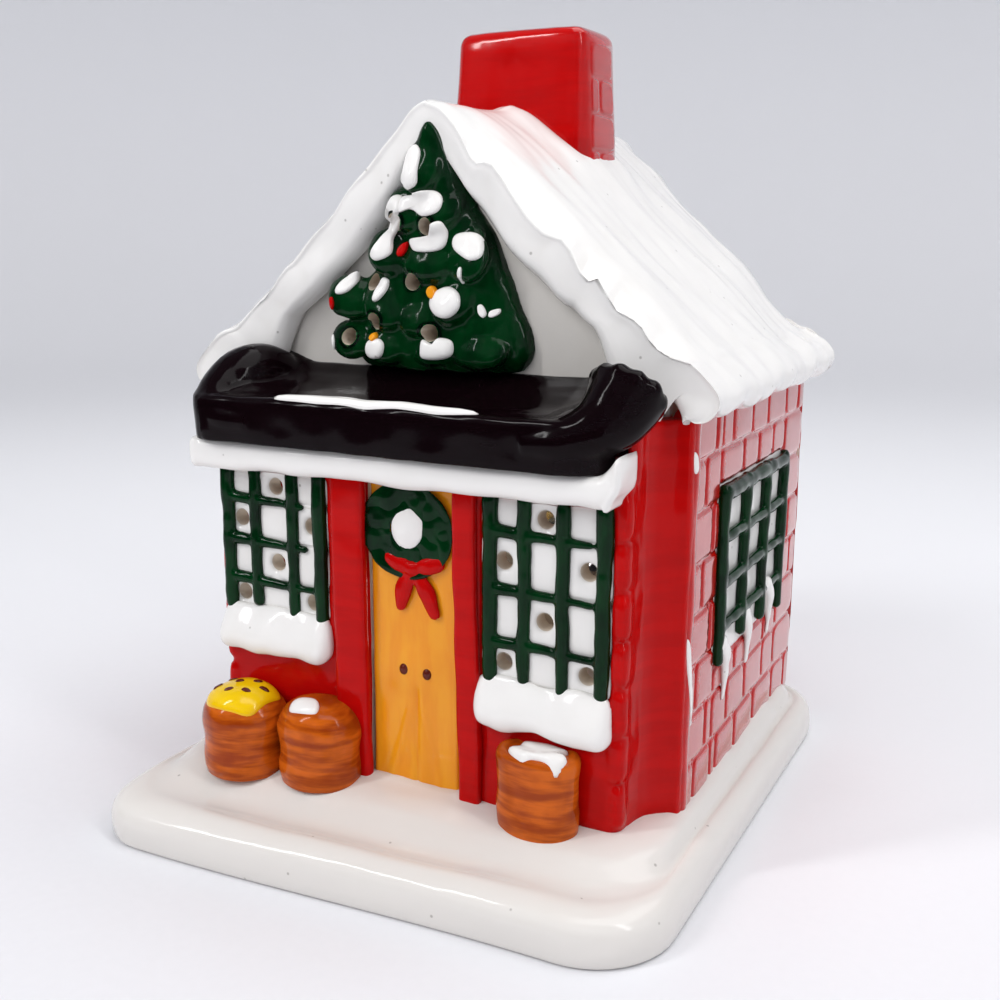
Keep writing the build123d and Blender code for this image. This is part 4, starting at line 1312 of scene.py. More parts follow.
# Section of the awning from its lower front edge over the top to the gable: (depth, height)
AWNING_SECTION = [
    (-44.2, 75.9), (-45.1, 76.6), (-45.4, 79.5), (-45.4, 82.8), (-45.1, 84.2), (-44.2, 84.7), (-42.2, 84.7),
    (-39.0, 84.6), (-35.0, 85.0), (-31.0, 86.1), (-27.0, 87.7), (-23.0, 89.2), (-22.8, 83.0), (-22.8, 76.4),
    (-30.0, 75.9), (-37.0, 75.9),
]
AWNING_LEFT = -43.6
AWNING_RIGHT = 41.0
# Radii of the awning's front corners, left and right
AWNING_CORNERS = (5.0, 7.5)
# Rolled left and right end of the awning: (across, depth, height, radius)
AWNING_ROLL = {
    -1: [
        (-29.0, -42.6, 80.2, 3.2), (-35.5, -42.0, 80.6, 3.9), (-38.8, -40.0, 82.0, 4.8),
        (-39.4, -37.0, 84.0, 5.4), (-38.9, -33.4, 86.2, 5.9), (-37.2, -29.6, 87.0, 5.8),
        (-34.6, -26.0, 86.0, 5.0),
    ],
    1: [
        (27.0, -42.8, 80.4, 3.2), (32.6, -42.4, 81.0, 3.8), (36.8, -40.9, 82.4, 4.7),
        (39.2, -38.4, 84.3, 5.6), (40.6, -35.9, 86.9, 6.4), (41.2, -34.2, 88.9, 6.9),
    ],
}
HORN_LOBES = 11
SHOULDER_RISE = 2.2


def make_porch_roof():
    """Dark awning with a flat front, a dished top, a rolled left end and a trumpet on the right."""
    bm = bmesh.new()
    section = smooth_run(AWNING_SECTION, 3, closed=True)
    front, back = AWNING_SECTION[2][0], AWNING_SECTION[-4][0]
    rings = []
    stations = [AWNING_LEFT + 0.2 * step for step in (0, 1, 3, 7)] + list(range(-41, 39, 2))
    stations += [AWNING_RIGHT - 0.2 * step for step in (7, 3, 1, 0)]
    for x in stations:
        corner, half = (AWNING_CORNERS[0], -AWNING_LEFT) if x < 0 else (AWNING_CORNERS[1], AWNING_RIGHT)
        past = max(0.0, abs(x) - half + corner)
        pulled = corner - math.sqrt(max(0.0, corner ** 2 - past ** 2))
        reach = (front + pulled - back) / (front - back)
        ring = []
        for depth, height in section:
            rise = 0.45 * bumps((x, depth, height), 14.0, 51.0)
            rise += SHOULDER_RISE * ease(28, 37, abs(x)) * ease(-43.5, -37, depth) * ease(82, 84, height)
            ring.append(Vector((x, back + (depth - back) * reach, height + rise * ease(76.5, 79, height))))
        rings.append(ring)
    capped_loft(bm, rings)
    for side, roll in AWNING_ROLL.items():
        path = [Vector(place[:3]) for place in roll]
        tube(bm, path, [place[3] for place in roll], out=(0, 0, 1), sides=20, bulge=0.9 if side < 0 else 0.35)
    lip = AWNING_ROLL[1]
    mouth = Vector(lip[-1][:3])
    axis = (mouth - Vector(lip[-2][:3])).normalized()
    across = axis.cross(Vector((0, 0, 1))).normalized()
    lift = across.cross(axis)
    for lobe in range(HORN_LOBES):
        turn = 2 * math.pi * (lobe + 0.35) / HORN_LOBES
        size = 1.9 + 0.5 * bumps((lobe, 0, 1), 1.3, 5.0)
        spot = mouth + (across * math.cos(turn) + lift * math.sin(turn)) * (lip[-1][3] - 1.7) - axis * 0.4
        lump(bm, spot, (size, size, size))
    bm = fuse(bm, 0.5, 2)
    waver(bm, 0.3, 7.0, 52.0)
    return finish_piece(bm, "porch_roof", [awning_glaze()], reach=0.35, rounds=14)


# White brush stroke along the front edge of the awning, from above: (across, depth)
AWNING_STROKE = [
    (-22.8, -43.2), (-21.2, -41.2), (-17.0, -41.0), (-8.0, -41.8), (4.0, -42.7), (13.0, -43.3),
    (18.4, -43.8), (17.4, -44.7), (8.0, -44.8), (-6.0, -44.9), (-20.5, -44.9), (-22.6, -44.4),
]


BAND_WRAP = 3.0
BAND_SHORT = 1.4


def make_porch_snow(awning):
    """White band under the awning, round three sides of the bay, and the white stroke on the awning."""
    bm = bmesh.new()
    low, high = BAND_LOW, BAND_HIGH
    right = high.x - BAND_SHORT
    soft_block(bm, (low.x, low.y, low.z), (right, BAY_Y + 0.2, high.z + 0.1), 2.2)
    for side in (-1, 1):
        inner, outer = side * (BAY_HIGH.x - 0.4), right if side > 0 else low.x
        soft_block(
            bm, (min(inner, outer), low.y, low.z), (max(inner, outer), BAY_Y + BAND_WRAP, high.z + 0.1), 1.3
        )
    bm = fuse(bm, 0.6, 4)
    for vert in bm.verts:
        droop = 1 - ease(low.z + 1.0, low.z + 4.0, vert.co.z)
        vert.co.z += droop * (0.9 * bumps((vert.co.x, vert.co.y, 0), 12.0, 61.0) - 0.2)
        vert.co.x -= 1.6 * droop * ease(36, 42, vert.co.x)
        vert.co.z += 4.0 * ease(39.5, 43.5, vert.co.x) * ease(low.z + 3.0, high.z, vert.co.z)
    waver(bm, 0.35, 9.0, 62.0)
    dab(bm, surface_of(awning), AWNING_STROKE, 0.8, side=FROM_ABOVE)
    return finish_piece(bm, "porch_snow", [snow_glaze()], reach=0.3, rounds=12)


# Front windows

LEFT_BARS = (-40.6, -34.0, -25.2, -18.9)
LEFT_RAILS = (63.6, 55.4, 47.4)
RIGHT_BARS = (17.3, 23.8, 31.2, 38.6)
RIGHT_RAILS = (63.4, 53.0, 43.4)
PANE_SUNK = 0.5
PANE_DEEP = 4.2


def pane_cell(bm, middle, half, hole):
    """One puffed pane between its bars, with a light hole or none; the hole's wall is bare clay."""
    sides = 24
    front = BAY_Y + PANE_SUNK
    back = BAY_Y + PANE_DEEP

    def ring(share, radius, y):
        points = []
        for number in range(sides):
            angle = 2 * math.pi * number / sides
            c, s = math.cos(angle), math.sin(angle)
            square = Vector(
                (half[0] * math.copysign(abs(c) ** 0.35, c), half[1] * math.copysign(abs(s) ** 0.35, s))
            )
            place = square * share + Vector((c, s)) * radius * (1 - share)
            points.append(Vector((middle[0] + place.x, y, middle[1] + place.y)))
        return points

    puff = 0.35
    outer = [
        ring(0.62, hole * 1.6, front - puff), ring(0.86, 0, front - puff * 0.6), ring(1.0, 0, front),
        ring(1.0, 0, back)
    ]
    if hole:
        throat = [ring(0, hole, back), ring(0, hole * 0.98, front + 1.2)]
        lip = [ring(0, hole * 1.06, front + 0.35), ring(0.06, hole * 1.22, front - puff * 0.5)]
        loft(bm, throat + lip + outer, closed=True)
        for face in bm.faces:
            centre = face.calc_center_median()
            near = math.hypot(centre.x - middle[0], centre.z - middle[1])
            if near < hole * 1.03 and centre.y > front + 0.2:
                face.material_index = 1
    else:
        loft(bm, [ring(0, 0, front - puff), ring(0.3, 0, front - puff)] + outer + [ring(0, 0, back)])


def make_window_panes(side):
    """Panes of a front window, with light holes in every other one."""
    bm = bmesh.new()
    bars = LEFT_BARS if side < 0 else RIGHT_BARS
    rails = LEFT_RAILS if side < 0 else RIGHT_RAILS
    low, high = window_frame(side)
    columns = [low.x, *bars[1:-1], high.x]
    rows = [high.z, *rails, low.z]
    for row, (top, bottom) in enumerate(zip(rows, rows[1:])):
        for column, (left, right) in enumerate(zip(columns, columns[1:])):
            middle = ((left + right) / 2, (top + bottom) / 2)
            half = ((right - left) / 2 + 0.05, (top - bottom) / 2 + 0.05)
            hole = sizes("light_hole") / 2 if (row + column) % 2 else 0.0
            pane_cell(bm, middle, half, hole)
    name = sided(side, "window_pane")
    bmesh.ops.recalc_face_normals(bm, faces=bm.faces)
    return finish_piece(bm, name, [snow_glaze(), bare_clay()], reach=0.3, rounds=4, sharp=55)


def bar(bm, start, end, width, seed, plane, taper=(1.0, 1.0)):
    """Painted window bar between two points in a wall, wavering in line and width.

    Plane turns (across, up, out) into a place.
    """
    steps = 7
    path, radii = [], []
    for step in range(steps):
        share = step / (steps - 1)
        across = start[0] + (end[0] - start[0]) * share
        up = start[1] + (end[1] - start[1]) * share
        swing = sizes("hand_waver") * bumps((across, up, 3), 7.0, seed)
        path.append(plane(across + swing, up + swing * 0.8, 0.1))
        thick = taper[0] + (taper[1] - taper[0]) * share
        radii.append(width / 2 * thick * (1 + 0.14 * bumps((across, up, 9), 5.0, seed + 4)))
    out = Vector(plane(0, 0, 1)) - Vector(plane(0, 0, 0))
    tube(bm, path, radii, out=out, depth=2 * sizes("bar_relief") / sizes("bar_width"), sides=14)


def in_front(across, up, out):
    """Place in the front plane of the bay."""
    return (across, BAY_Y - out, up)


def make_window_lattice(side):
    """Green bars of a front window with ragged brush ends."""
    bm = bmesh.new()
    width = sizes("bar_width")
    if side < 0:
        feet = (41.8, 43.2, 40.6, 37.8)
        heads = (69.4, 69.2, 69.0, 69.6)
        ends = (-22.9, -22.4, -18.9)
        bars, rails = LEFT_BARS, LEFT_RAILS
    else:
        feet = (36.4, 37.2, 35.6, 36.8)
        heads = (69.6, 69.7, 69.0, 69.8)
        ends = (36.2, 36.4, 38.4)
        bars, rails = RIGHT_BARS, RIGHT_RAILS
    for number, (x, foot, head) in enumerate(zip(bars, feet, heads)):
        thick = 1.12 if number in (0, 3) else 1.0
        bar(bm, (x, head), (x, foot), width * thick, number + 2.0, in_front, (1.06, 0.92))
    for number, (z, end) in enumerate(zip(rails, ends)):
        bar(bm, (bars[0], z + 0.3), (end, z - 0.4), width * 0.94, number + 11.0, in_front, (1.05, 0.55))
    bm = fuse(bm, 0.34, 3)
    waver(bm, 0.16, 3.2, 71.0)
    name = sided(side, "window_lattice")
    return finish_piece(bm, name, [green_glaze()], reach=0.25, rounds=8)


# Section of the sill snow from its top over the front to its underside: (out of the wall, share of height)
SILL_SECTION = [
    (-0.6, 1.12), (0.4, 1.12), (1.1, 1.02), (2.0, 0.84), (2.9, 0.6), (3.4, 0.36), (3.1, 0.16), (2.2, 0.03),
    (1.0, 0.0), (-0.6, 0.04),
]
SILL_ROUND = 0.2


def make_window_snow(side):
    """Smooth pillow of snow on the sill of a front window, running up between its panes."""
    bm = bmesh.new()
    name = sided(side, "window_snow")
    low, high = box_mm(name)
    section = smooth_run(SILL_SECTION, 4)
    middle, half = (low.x + high.x) / 2, (high.x - low.x) / 2
    rings = []
    count = 56
    for number in range(count + 1):
        share = math.sin(math.pi * (number / count - 0.5))
        x = middle + half * share
        past = max(0.0, (abs(share) - 1 + SILL_ROUND) / SILL_ROUND)
        shrink = math.sqrt(max(0.0, 1 - past ** 2.4))
        foot = low.z + 1.5 * bumps((x, 0, 0), 6.0, 81.0 + side) - 0.7 * bumps((x, 3, 0), 16.0, 83.0)
        head = high.z + 0.5 * bumps((x, 5, 0), 6.0, 85.0 + side)
        puff = 1 + 0.12 * bumps((x, 9, 0), 8.0, 87.0 + side)
        ring = []
        for out, rise in section:
            z = foot + (head - foot) * (0.5 + (rise - 0.5) * (0.35 + 0.65 * shrink))
            ring.append(Vector((x, BAY_Y - max(out * puff * shrink, -0.6), z)))
        rings.append(ring)
    capped_loft(bm, rings)
    bm = fuse(bm, 0.5, 3)
    waver(bm, 0.55, 6.5, 89.0 + side)
    return finish_piece(bm, name, [snow_glaze()], reach=0.35, rounds=14)


# Side windows

SIDE_BARS = (-6.2, 8.2, 22.6, 36.6)
SIDE_RAILS = (67.4, 58.6, 50.0, 41.6)
# White runs of glaze down the front corner of a side wall: (depth, height)
WALL_STREAKS = [
    [
        (-23.5, 44.0), (-22.6, 43.4), (-22.3, 38.0), (-21.2, 33.0), (-20.0, 28.6), (-20.6, 27.4),
        (-21.7, 30.0), (-22.7, 36.0),
    ],
    [(-23.6, 77.8), (-22.9, 77.2), (-22.6, 74.8), (-23.2, 74.0), (-23.7, 75.8)],
]


def make_side_window(side):
    """Window in a side wall: sunk panes, heavy green bars and snow that drips from its sill."""

    def in_wall(across, up, out):
        return (side * (WALL_X + out), across, up)

    panes = bmesh.new()
    rows = [SIDE_HIGH.z, *SIDE_RAILS[1:], SIDE_LOW.z]
    columns = [SIDE_LOW.y, *SIDE_BARS[1:-1], SIDE_HIGH.y]
    deep, shallow = side * (WALL_X - 2.0), side * (WALL_X - 0.7)
    for top, bottom in zip(rows, rows[1:]):
        for left, right in zip(columns, columns[1:]):
            low = (min(deep, shallow), left - 0.2, bottom - 0.2)
            high = (max(deep, shallow), right + 0.2, top + 0.2)
            soft_block(panes, low, high, 0.5)
    panes = fuse(panes, 0.55, 3)
    waver(panes, 0.2, 5.0, 91.0)
    name = sided(side, "side_pane")
    finish_piece(panes, name, [snow_glaze()], reach=0.3, rounds=8)

    bars = bmesh.new()
    width = sizes("bar_width") * 1.04
    for number, y in enumerate(SIDE_BARS):
        foot = SIDE_LOW.z + (1.0, 3.0, 2.0, 0.5)[number]
        bar(bars, (y, SIDE_HIGH.z - 1.0), (y, foot), width, number + 31.0, in_wall, (1.1, 0.95))
    for number, z in enumerate(SIDE_RAILS):
        thick = 1.25 if number == 0 else 0.95
        bar(
            bars, (SIDE_BARS[0], z), (SIDE_BARS[-1], z - 0.5), width * thick, number + 41.0, in_wall,
            (1.0, 0.9)
        )
    bars = fuse(bars, 0.42, 3)
    waver(bars, 0.25, 4.0, 92.0)
    name = sided(side, "side_lattice")
    finish_piece(bars, name, [green_glaze()], reach=0.25, rounds=8)

    drips = bmesh.new()
    for number, (y, tip) in enumerate(((-1.6, 26.0), (13.8, 28.6), (29.7, 30.2))):
        top = SIDE_LOW.z + (4.5, 6.0, 8.0)[number]
        path = [in_wall(y - 4.0, top, 0.6), in_wall(y - 1.2, top - 2.6, 0.5), in_wall(y, top - 5.5, 0.3)]
        path += [in_wall(y + 0.3, tip + 2.5, 0.1), in_wall(y, tip, 0.0)]
        tube(drips, path, [1.3, 1.9, 1.5, 1.0, 0.7], out=(side, 0, 0), depth=0.5)
        lump(drips, in_wall(y - 3.0, top - 0.4, 0.3), (1.0, 2.8, 1.7))
    drips = fuse(drips, 0.36, 4)
    waver(drips, 0.2, 3.0, 93.0)
    wall = surface_of(bpy.data.objects["glazed_" + sided(side, "wall")])
    for streak in WALL_STREAKS:
        dab(drips, wall, streak, 0.3, side=FROM_RIGHT if side > 0 else FROM_LEFT)
    name = sided(side, "side_icicles")
    finish_piece(drips, name, [snow_glaze()], reach=0.3, rounds=8)


# Door

KNOB_PLATE = (1.2, 34.4)


def make_door():
    """Amber double door with a soft seam, sunk lower panels and a raised plate round the knobs."""
    bm = bmesh.new()
    soft_block(bm, (DOOR_LOW.x, DOOR_LOW.y, FLOOR_Z - 1.5), DOOR_HIGH, 0.5)
    bm = fuse(bm, 0.45, 2)
    seam = (DOOR_LOW.x + DOOR_HIGH.x) / 2 + 0.3
    for vert in bm.verts:
        x, y, z = vert.co
        if y > DOOR_LOW.y + 0.7:
            continue
        groove = math.exp(-((x - seam) / 0.5) ** 2) * (1 - ease(29, 33, z))
        plate = math.exp(-(((x - KNOB_PLATE[0]) / 5.2) ** 4 + ((z - KNOB_PLATE[1]) / 4.2) ** 4))
        side_fold = math.exp(-((abs(x - seam) - (30 - z) * 0.28 - 0.5) / 0.8) ** 2) * (1 - ease(26, 31, z))
        vert.co.y += 0.35 * groove - 0.32 * plate - 0.22 * side_fold
        vert.co.z -= 1.2 * ease(-4, 10, x) * (1 - ease(14, 20, z))
    waver(bm, 0.22, 7.0, 101.0)
    return finish_piece(bm, "door", [door_glaze()], reach=0.2, rounds=10)


def make_door_knobs():
    """Two brown knobs."""
    bm = bmesh.new()
    for x, z in ((-1.3, 34.6), (3.7, 34.4)):
        lump(bm, (x, DOOR_LOW.y - 0.15, z), (0.95, 0.8, 1.15), 8)
    return finish_piece(bm, "door_knobs", [knob_glaze()], reach=0.2, rounds=4)


def make_door_jamb(side):
    """Red post beside the door, its foot bent a little to the right."""
    bm = bmesh.new()
    name = sided(side, "door_jamb")
    low, high = box_mm(name)
    inner, outer = (high.x, low.x - 3.6) if side < 0 else (low.x, high.x + 1.2)
    corners = (min(inner, outer), max(inner, outer))
    soft_block(bm, (corners[0], low.y - 0.3, FLOOR_Z - 1.2), (corners[1], BAY_Y + 0.5, high.z + 0.4), 0.9)
    bm = fuse(bm, 0.5, 3)
    for vert in bm.verts:
        lean = 1 - ease(14, 60, vert.co.z)
        vert.co.x += lean * (1.1 if side > 0 else 0.5)
    waver(bm, 0.3, 9.0, 111.0 + side)
    return finish_piece(bm, name, [red_glaze()], reach=0.3, rounds=12)


# Wreath and bow

WREATH_MIDDLE = Vector((0.1, 0, 61.4))
WREATH_R = 6.5
WREATH_TUBE = 3.2


def make_wreath():
    """Wreath spun from a round section, with leafy swells."""
    bm = bmesh.new()
    y = DOOR_LOW.y - 1.0
    middle = Vector((WREATH_MIDDLE.x, y, WREATH_MIDDLE.z))
    turn = Matrix.Translation(middle + Vector((WREATH_R, 0, 0))) @ Matrix.Rotation(math.pi / 2, 4, "X")
    bmesh.ops.create_circle(bm, segments=20, radius=WREATH_TUBE, matrix=turn)
    bmesh.ops.spin(
        bm, geom=bm.verts[:] + bm.edges[:], cent=middle, axis=(0, 1, 0), angle=2 * math.pi, steps=56,
        use_merge=True
    )
    close_up(bm)
    for vert in bm.verts:
        vert.co.y = middle.y + (vert.co.y - middle.y) * 0.86
        vert.co.z = middle.z + (vert.co.z - middle.z) * 0.94
        angle = math.atan2(vert.co.z - middle.z, vert.co.x - middle.x)
        vert.co.y -= 0.35 * math.sin(9 * angle) * ease(0, 2, middle.y - vert.co.y)
    waver(bm, 0.6, 4.2, 121.0)
    waver(bm, 0.25, 1.8, 122.0)
    bm = rounded(bm)
    return finish_piece(bm, "wreath", [green_glaze()], reach=0.3, rounds=12)


def make_wreath_snow():
    """White disc seen through the wreath."""
    bm = bmesh.new()
    lump(bm, (WREATH_MIDDLE.x + 0.2, DOOR_LOW.y - 0.5, WREATH_MIDDLE.z + 0.4), (3.7, 1.3, 4.3), 12)
    bm = fuse(bm, 0.35, 3)
    waver(bm, 0.25, 3.0, 125.0)
    return finish_piece(bm, "wreath_snow", [snow_glaze()], reach=0.3, rounds=8)


def make_bow():
    """Red ribbon bow with two loops and two forked tails under the wreath."""
    bm = bmesh.new()
    y = DOOR_LOW.y - 0.6
    knot = Vector((1.4, y, 54.4))
    lump(bm, knot, (2.0, 1.3, 1.5))
    for side in (-1, 1):
        path = [knot, knot + Vector((side * 2.6, -0.2, 0.6)), knot + Vector((side * 5.4, 0, 1.5))]
        tube(bm, path, [1.0, 1.7, 1.5], depth=0.55)
    tails = [[(0.6, 53.6), (-0.9, 50.4), (-1.6, 46.8)], [(2.2, 53.4), (4.0, 50.2), (5.6, 46.2)]]
    for tail in tails:
        path = [(x, y, z) for x, z in tail]
        tube(bm, path, [1.1, 1.9, 1.2], depth=0.45)
    bm = fuse(bm, 0.33, 3)
    waver(bm, 0.22, 3.0, 131.0)
    return finish_piece(bm, "bow", [red_glaze()], reach=0.25, rounds=8)


# Gable tree

# Body of the tree: (height, left edge, right edge, thickness)
TREE_BODY = [
    (89.4, -15.6, 17.0, 5.0), (92.5, -18.2, 18.9, 6.2), (96.0, -17.8, 18.6, 6.4), (100.0, -17.4, 16.9, 6.2),
    (104.0, -16.2, 15.3, 6.0), (108.5, -12.4, 13.6, 5.8), (113.0, -9.6, 11.4, 5.7), (118.0, -8.0, 8.0, 5.8),
    (122.0, -6.3, 6.2, 6.0), (127.0, -4.6, 4.6, 6.2), (130.6, -2.7, 3.2, 6.2), (132.4, -0.9, 1.9, 5.8),
]
# Boughs that droop over the body: (across, height, half width, half height, lean)
TREE_BOUGHS = [
    (-0.6, 126.0, 4.0, 6.4, 4), (-4.4, 118.0, 4.4, 4.0, 26), (2.0, 117.6, 5.0, 4.4, -12),
    (-8.0, 110.4, 4.6, 4.4, 28), (0.0, 109.4, 5.6, 4.8, 2), (8.0, 110.6, 4.0, 6.0, -22),
    (-16.4, 102.2, 5.0, 4.4, 18), (-8.4, 101.2, 5.4, 5.0, 16), (-1.6, 99.8, 4.6, 4.6, 4),
    (5.0, 102.4, 4.8, 5.0, -10), (-16.2, 94.4, 4.8, 3.9, 10), (-8.8, 94.0, 5.0, 4.0, 4),
    (1.6, 94.0, 5.6, 4.0, 0), (10.6, 93.4, 5.6, 3.6, -4),
]
BOUGH_TILT = 24.0
TREE_SIDES = 28
TREE_HOLES = [
    (-6.0, 115.6), (0.5, 114.8), (-11.6, 105.0), (-2.6, 105.2), (-16.1, 95.0), (-10.3, 98.0), (1.3, 96.3),
]


def tree_face(z):
    """Thickness of the tree's body at a height."""
    rows = TREE_BODY
    for before, after in zip(rows, rows[1:]):
        if before[0] <= z <= after[0]:
            share = (z - before[0]) / (after[0] - before[0])
            return before[3] + (after[3] - before[3]) * share
    return rows[-1][3]


def make_tree():
    """Fir tree on the gable: drooping boughs fused to a tapering body, pierced by light holes."""
    bm = bmesh.new()
    rings = []
    for z, left, right, thick in smooth_run(TREE_BODY, 3):
        ring = []
        for number in range(TREE_SIDES):
            angle = 2 * math.pi * number / TREE_SIDES
            x = (left + right) / 2 + (right - left) / 2 * math.cos(angle)
            depth = max(0.0, math.sin(angle)) ** 0.7 * thick
            back = 0.5 if math.sin(angle) < 0 else 0.0
            ring.append(Vector((x, FRONT_Y - depth + back, z)))
        rings.append(ring)
    capped_loft(bm, rings, 0.8)
    for x, z, wide, tall, lean in TREE_BOUGHS:
        lump(bm, (x, FRONT_Y - tree_face(z) * 0.84 + 0.5, z), (wide, 2.1, tall), lean, BOUGH_TILT)
    cutters = bmesh.new()
    radius = sizes("light_hole") / 2
    for x, z in TREE_HOLES:
        drill(cutters, (x, FRONT_Y - 6, z), radius, 28)
    bm = fuse(bm, 0.44, 3)
    waver(bm, 0.4, 4.6, 141.0)
    waver(bm, 0.16, 1.9, 142.0)
    bm = carve(bm, cutters)
    bm.normal_update()
    for face in bm.faces:
        place = face.calc_center_median()
        near = min(math.hypot(place.x - x, place.z - z) for x, z in TREE_HOLES)
        if near < radius * 1.02 and abs(face.normal.y) < 0.5:
            face.material_index = 1
    materials = [green_glaze(), bare_clay()]
    return finish_piece(bm, "tree", materials, reach=0.35, rounds=14, sharp=70)


# Outlines of the snow on the tree: (across, height)
TREE_SNOW = [
    [
        (-2.1, 128.8), (-0.5, 127.6), (-0.2, 124.3), (-0.4, 121.9), (-2.3, 121.0), (-4.1, 121.3),
        (-3.4, 124.0), (-3.4, 127.4),
    ],
    [
        (-4.8, 119.8), (-2.3, 120.3), (2.0, 120.9), (3.8, 119.2), (3.2, 117.2), (0.1, 116.5), (-2.6, 117.7),
        (-4.8, 117.3),
    ],
    [
        (-7.0, 120.0), (-4.6, 120.0), (-4.6, 117.4), (-6.0, 114.9), (-6.8, 113.0), (-6.8, 110.0),
        (-9.4, 108.8), (-10.9, 109.8), (-9.5, 112.4), (-8.0, 114.9), (-7.5, 117.3),
    ],
    [
        (-3.4, 112.5), (-0.8, 113.0), (1.3, 113.5), (2.0, 115.2), (4.0, 115.6), (4.6, 113.5), (3.7, 111.1),
        (0.8, 110.4), (-2.4, 110.7),
    ],
    [(6.1, 113.5), (9.3, 113.8), (11.2, 112.5), (11.8, 109.8), (10.0, 109.0), (7.3, 110.1), (5.5, 111.5)],
    [(-17.1, 106.0), (-15.1, 106.8), (-14.9, 105.0), (-16.3, 103.1), (-18.4, 102.7), (-18.6, 104.0)],
    [(-9.3, 105.8), (-7.8, 105.3), (-8.1, 103.3), (-9.4, 101.7), (-10.5, 101.8), (-10.2, 104.0)],
    [(2.0, 103.5), (4.8, 104.5), (7.2, 103.3), (7.6, 100.9), (5.6, 99.1), (2.8, 99.4), (1.1, 101.4)],
    [(-11.7, 94.4), (-9.3, 94.9), (-8.1, 93.7), (-8.7, 91.6), (-11.2, 91.2), (-12.2, 92.4)],
    [
        (-0.2, 95.1), (1.9, 94.4), (3.0, 95.5), (5.6, 95.0), (5.8, 92.7), (3.9, 91.7), (0.2, 91.7),
        (-0.4, 93.3),
    ],
    [(7.5, 107.8), (8.2, 107.6), (8.0, 105.4), (7.4, 105.0), (7.0, 106.0)],
    [(10.3, 101.3), (11.0, 101.4), (11.8, 100.0), (11.4, 99.2), (10.5, 99.9)],
    [(12.4, 100.4), (13.9, 100.8), (14.0, 100.0), (12.9, 99.3), (12.2, 99.5)],
    [(-20.2, 95.2), (-19.4, 94.2), (-19.5, 92.4), (-20.3, 92.6)],
]


def make_tree_snow(tree):
    """Thick white dabs on the boughs, with a red dab and two amber ones."""
    bm = bmesh.new()
    surface = surface_of(tree)
    for outline in TREE_SNOW:
        width = max(x for x, _ in outline) - min(x for x, _ in outline)
        dab(bm, surface, outline, 0.95 if width > 2.5 else 0.5)
    dab(bm, surface, oval(-4.7, 110.9, 0.8, 1.4, -30, 3.3), 0.9, material=1)
    dab(bm, surface, oval(-19.7, 101.0, 0.6, 1.2, 0, 5.3), 0.5, material=1)
    dab(bm, surface, oval(1.6, 103.4, 1.0, 1.2, 20, 4.1), 1.15, material=2)
    dab(bm, surface, oval(-10.4, 95.2, 0.8, 0.8, 0, 6.1), 1.15, material=2)
    materials = [snow_glaze(), red_glaze(), door_glaze()]
    return finish_piece(bm, "tree_snow", materials, reach=0.3, rounds=6)


# Baskets

# Profiles of the baskets from the foot to the middle of the top: (radius, height)
DOMED_BASKET = [
    (8.1, -1.0), (8.5, 0.8), (8.55, 3.0), (8.3, 4.8), (8.3, 6.6), (8.55, 8.6), (8.4, 10.6), (7.8, 12.2),
    (6.6, 13.6), (4.8, 14.6), (2.6, 15.1), (0.0, 15.2),
]
DRUM_BASKET = [
    (7.5, -1.0), (7.8, 0.8), (7.8, 3.4), (7.6, 5.6), (7.6, 8.4), (7.8, 11.0), (7.9, 12.6), (7.4, 13.7),
    (6.4, 14.0), (5.0, 13.6), (2.8, 13.4), (0.0, 13.4),
]
# Share of its depth in front of the bay that each basket keeps, pressed against the wall
BASKET_PRESS = {"outer_basket": 0.92, "inner_basket": 0.82, "right_basket": 0.64}
# How far behind its front the middle of a basket lies
BASKET_MIDDLE = 8.0


def make_basket(name, profile, seed):
    """Squat basket spun from its profile and squeezed by hand."""
    low, high = box_mm(name)
    bm = bmesh.new()
    middle = Vector(((low.x + high.x) / 2, low.y + BASKET_MIDDLE, low.z))
    verts = [bm.verts.new(middle + Vector((radius, 0, z))) for radius, z in smooth_run(profile, 3)]
    edges = [bm.edges.new(pair) for pair in zip(verts, verts[1:])]
    bmesh.ops.spin(
        bm, geom=verts + edges, cent=middle, axis=(0, 0, 1), angle=2 * math.pi, steps=56, use_merge=True
    )
    bmesh.ops.holes_fill(bm, edges=[edge for edge in bm.edges if edge.is_boundary])
    close_up(bm)
    waver(bm, 0.28, 7.0, 150.0 + seed)
    waver(bm, 0.14, 3.0, 160.0 + seed)
    for vert in bm.verts:
        vert.co.y = BAY_Y + (vert.co.y - BAY_Y) * BASKET_PRESS[name]
    return finish_piece(bm, name, [basket_glaze()], reach=0.3, rounds=14, sharp=70)


def heap(name, basket, outline, thick, materials, seeds=()):
    """Painted heap on a basket's top, dropped on from above, with seeds of a second material."""
    bm = bmesh.new()
    surface = surface_of(basket)
    dab(bm, surface, outline, thick, side=FROM_ABOVE)
    for x, y, lean in seeds:
        dab(bm, surface, oval(x, y, 1.1, 0.6, lean, x), thick + 0.2, side=FROM_ABOVE, material=1)
    return finish_piece(bm, name, materials, reach=0.3, rounds=6)


